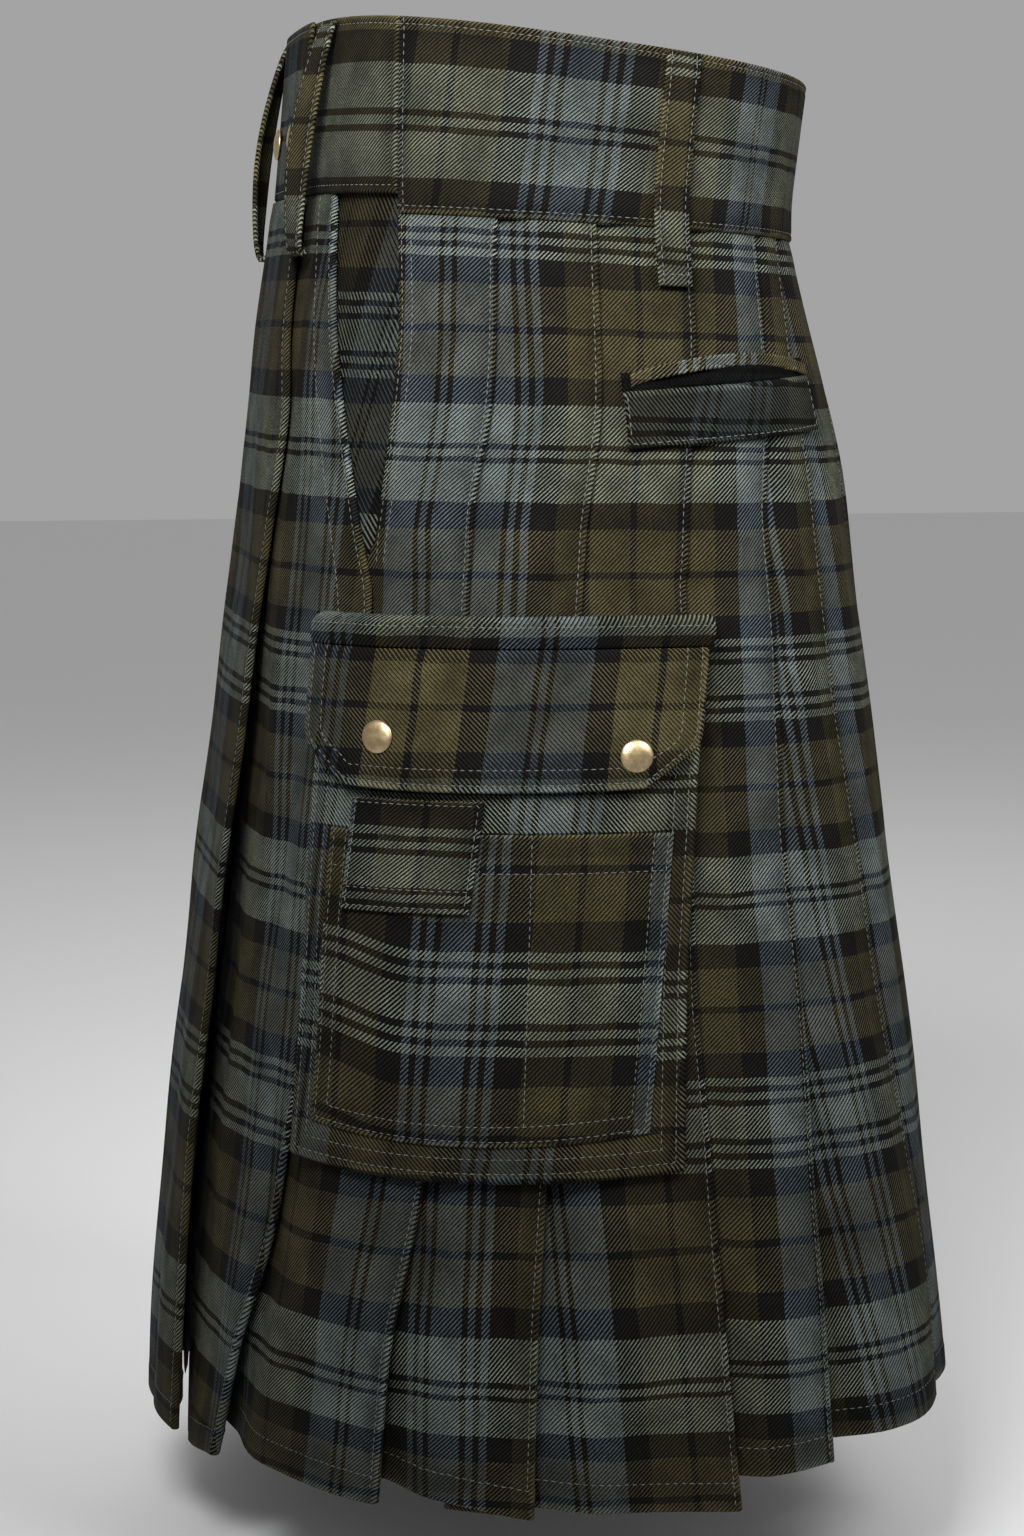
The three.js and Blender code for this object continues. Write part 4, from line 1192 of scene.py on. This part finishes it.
stitchTree = bpy.data.node_groups.new("runOfStitches", "GeometryNodeTree")
stitchInputs = {}
for label, kind in (("Geometry", "Geometry"), ("Pitch", "Float"), ("Length", "Float"), ("Width", "Float"),
                    ("Height", "Float"), ("Seed", "Int"), ("Thread", "Material")):
    socket = stitchTree.interface.new_socket(name=label, in_out="INPUT", socket_type="NodeSocket" + kind)
    stitchInputs[label] = socket.identifier
stitchTree.interface.new_socket(name="Geometry", in_out="OUTPUT", socket_type="NodeSocketGeometry")
sewing = Bench("stitches", stitchTree)
given = sewing.node("NodeGroupInput")
handed = {label: sewing.wire(given, i) for i, label in enumerate(stitchInputs)}
curve = sewing.made("GeometryNodeMeshToCurve", {}, {0: handed["Geometry"]})
even = sewing.made(
    "GeometryNodeResampleCurve", {"mode": "LENGTH"}, {"Curve": curve, "Length": handed["Pitch"]})
upward = sewing.made("GeometryNodeInputNamedAttribute", {"data_type": "FLOAT_VECTOR"}, {"Name": "up"})
onward = sewing.made("GeometryNodeInputTangent")
stood = sewing.made("FunctionNodeAlignRotationToVector", {"axis": "Z"}, {"Vector": upward})
turned = sewing.made("FunctionNodeAlignRotationToVector", {"axis": "X", "pivot_axis": "Z"},
                     {"Rotation": stood, "Vector": onward})
long = sewing.made("FunctionNodeRandomValue", {}, {2: 0.82, 3: 1.12, "Seed": handed["Seed"]}, output=1)
grain = sewing.made("GeometryNodeMeshUVSphere", {}, {"Segments": 6, "Rings": 4, "Radius": 0.5})
size = sewing.vector(handed["Length"] * long, handed["Width"], handed["Height"])
placed = sewing.made("GeometryNodeInstanceOnPoints", {},
                     {"Points": even, "Instance": grain, "Rotation": turned, "Scale": size})
plain = sewing.made("GeometryNodeRealizeInstances", {}, {0: placed})
dyed = sewing.made("GeometryNodeSetMaterial", {}, {"Geometry": plain, "Material": handed["Thread"]})
sewing.node("NodeGroupOutput", {}, {0: dyed})


def sewRuns(name, group, sign):
    points, ups, edges = [], [], []
    for line, up, middle in runs[group]:
        if middle and sign < 0:
            continue
        edges += [(len(points) + i, len(points) + i + 1) for i in range(len(line) - 1)]
        points += (line * [0.001 * sign, 0.001, 0.001]).tolist()
        ups += (up * [sign, 1, 1]).tolist()
    mesh = bpy.data.meshes.new(name + "_path")
    mesh.from_pydata(points, edges, [])
    attribute = mesh.attributes.new("up", "FLOAT_VECTOR", "POINT")
    attribute.data.foreach_set("vector", np.array(ups, np.float32).ravel())
    pathObject = added(name + "_path", mesh)
    modifier = pathObject.modifiers.new("stitches", "NODES")
    modifier.node_group = stitchTree
    for label in ("Pitch", "Length", "Width", "Height"):
        modifier[stitchInputs[label]] = stitch[label.lower()] / 1000
    modifier[stitchInputs["Seed"]] = stitch["seed"]
    modifier[stitchInputs["Thread"]] = thread
    evaluated = pathObject.evaluated_get(bpy.context.evaluated_depsgraph_get())
    sewn = bpy.data.meshes.new_from_object(evaluated)
    sewn.name = name
    shadeSmooth(sewn)
    bpy.data.objects.remove(pathObject)
    made = added(name, sewn)
    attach(made, "root")
    return len(sewn.polygons)


for group, slot in (("skirt", "tartan_skirt"), ("band", "tartan_band"), ("pocket", "tartan_pocket")):
    for side, sign in (("left", 1), ("right", -1)):
        count = sewRuns(f"stitches_{group}_{side}", group, sign)
        print("stitches", group, side, count)

# Light, floor and camera
room = {
    "floor": -0.64,
    "camera": (1.6742, -0.2952, -0.091),
    "turn": (83.16, 0, 80),
    "lens": 85.55,
    "world": 0.37,
    "lamps": [  # place, aim, size, watts, spread
        ((0.95, -0.42, 0.55), (0.1, -0.02, 0.04), 0.5, 3.9, 64),
        ((0.7, 0.55, 0.4), (0.08, 0.05, -0.1), 0.5, 2.3, 100),
        ((-1.6, 0.4, 1.4), (0, 0, -0.2), 1.4, 8, 180),
    ],
}

floorMesh = bpy.data.meshes.new("floor")
corners = [(x, y, room["floor"]) for x, y in ((-9, -9), (9, -9), (9, 9), (-9, 9))]
floorMesh.from_pydata(corners, [], [(0, 1, 2, 3)])
floor = added("floor", floorMesh)
floorBench = Bench("paleFloor")
floorMesh.materials.append(floorBench.finish({"Base Color": (0.85, 0.85, 0.85, 1), "Roughness": 0.9}, {}))

world = bpy.data.worlds.new("studio")
world.use_nodes = True
world.node_tree.nodes["Background"].inputs[0].default_value = (1, 1, 1, 1)
world.node_tree.nodes["Background"].inputs[1].default_value = room["world"]
bpy.context.scene.world = world
for place, aim, size, watts, spread in room["lamps"]:
    lampData = bpy.data.lights.new("softbox", "AREA")
    lampData.shape, lampData.size, lampData.energy = "SQUARE", size, watts
    lampData.spread = np.radians(spread)
    lamp = added("softbox", lampData)
    lamp.location = place
    lamp.rotation_euler = (Vector(aim) - Vector(place)).to_track_quat("-Z", "Y").to_euler()

cameraData = bpy.data.cameras.new("camera")
cameraData.lens = room["lens"]
cameraData.sensor_width = 36
camera = added("camera", cameraData)
camera.location = room["camera"]
camera.rotation_euler = [np.radians(v) for v in room["turn"]]
bpy.context.scene.camera = camera
bpy.context.scene.view_settings.view_transform = "Standard"
print("stage set")
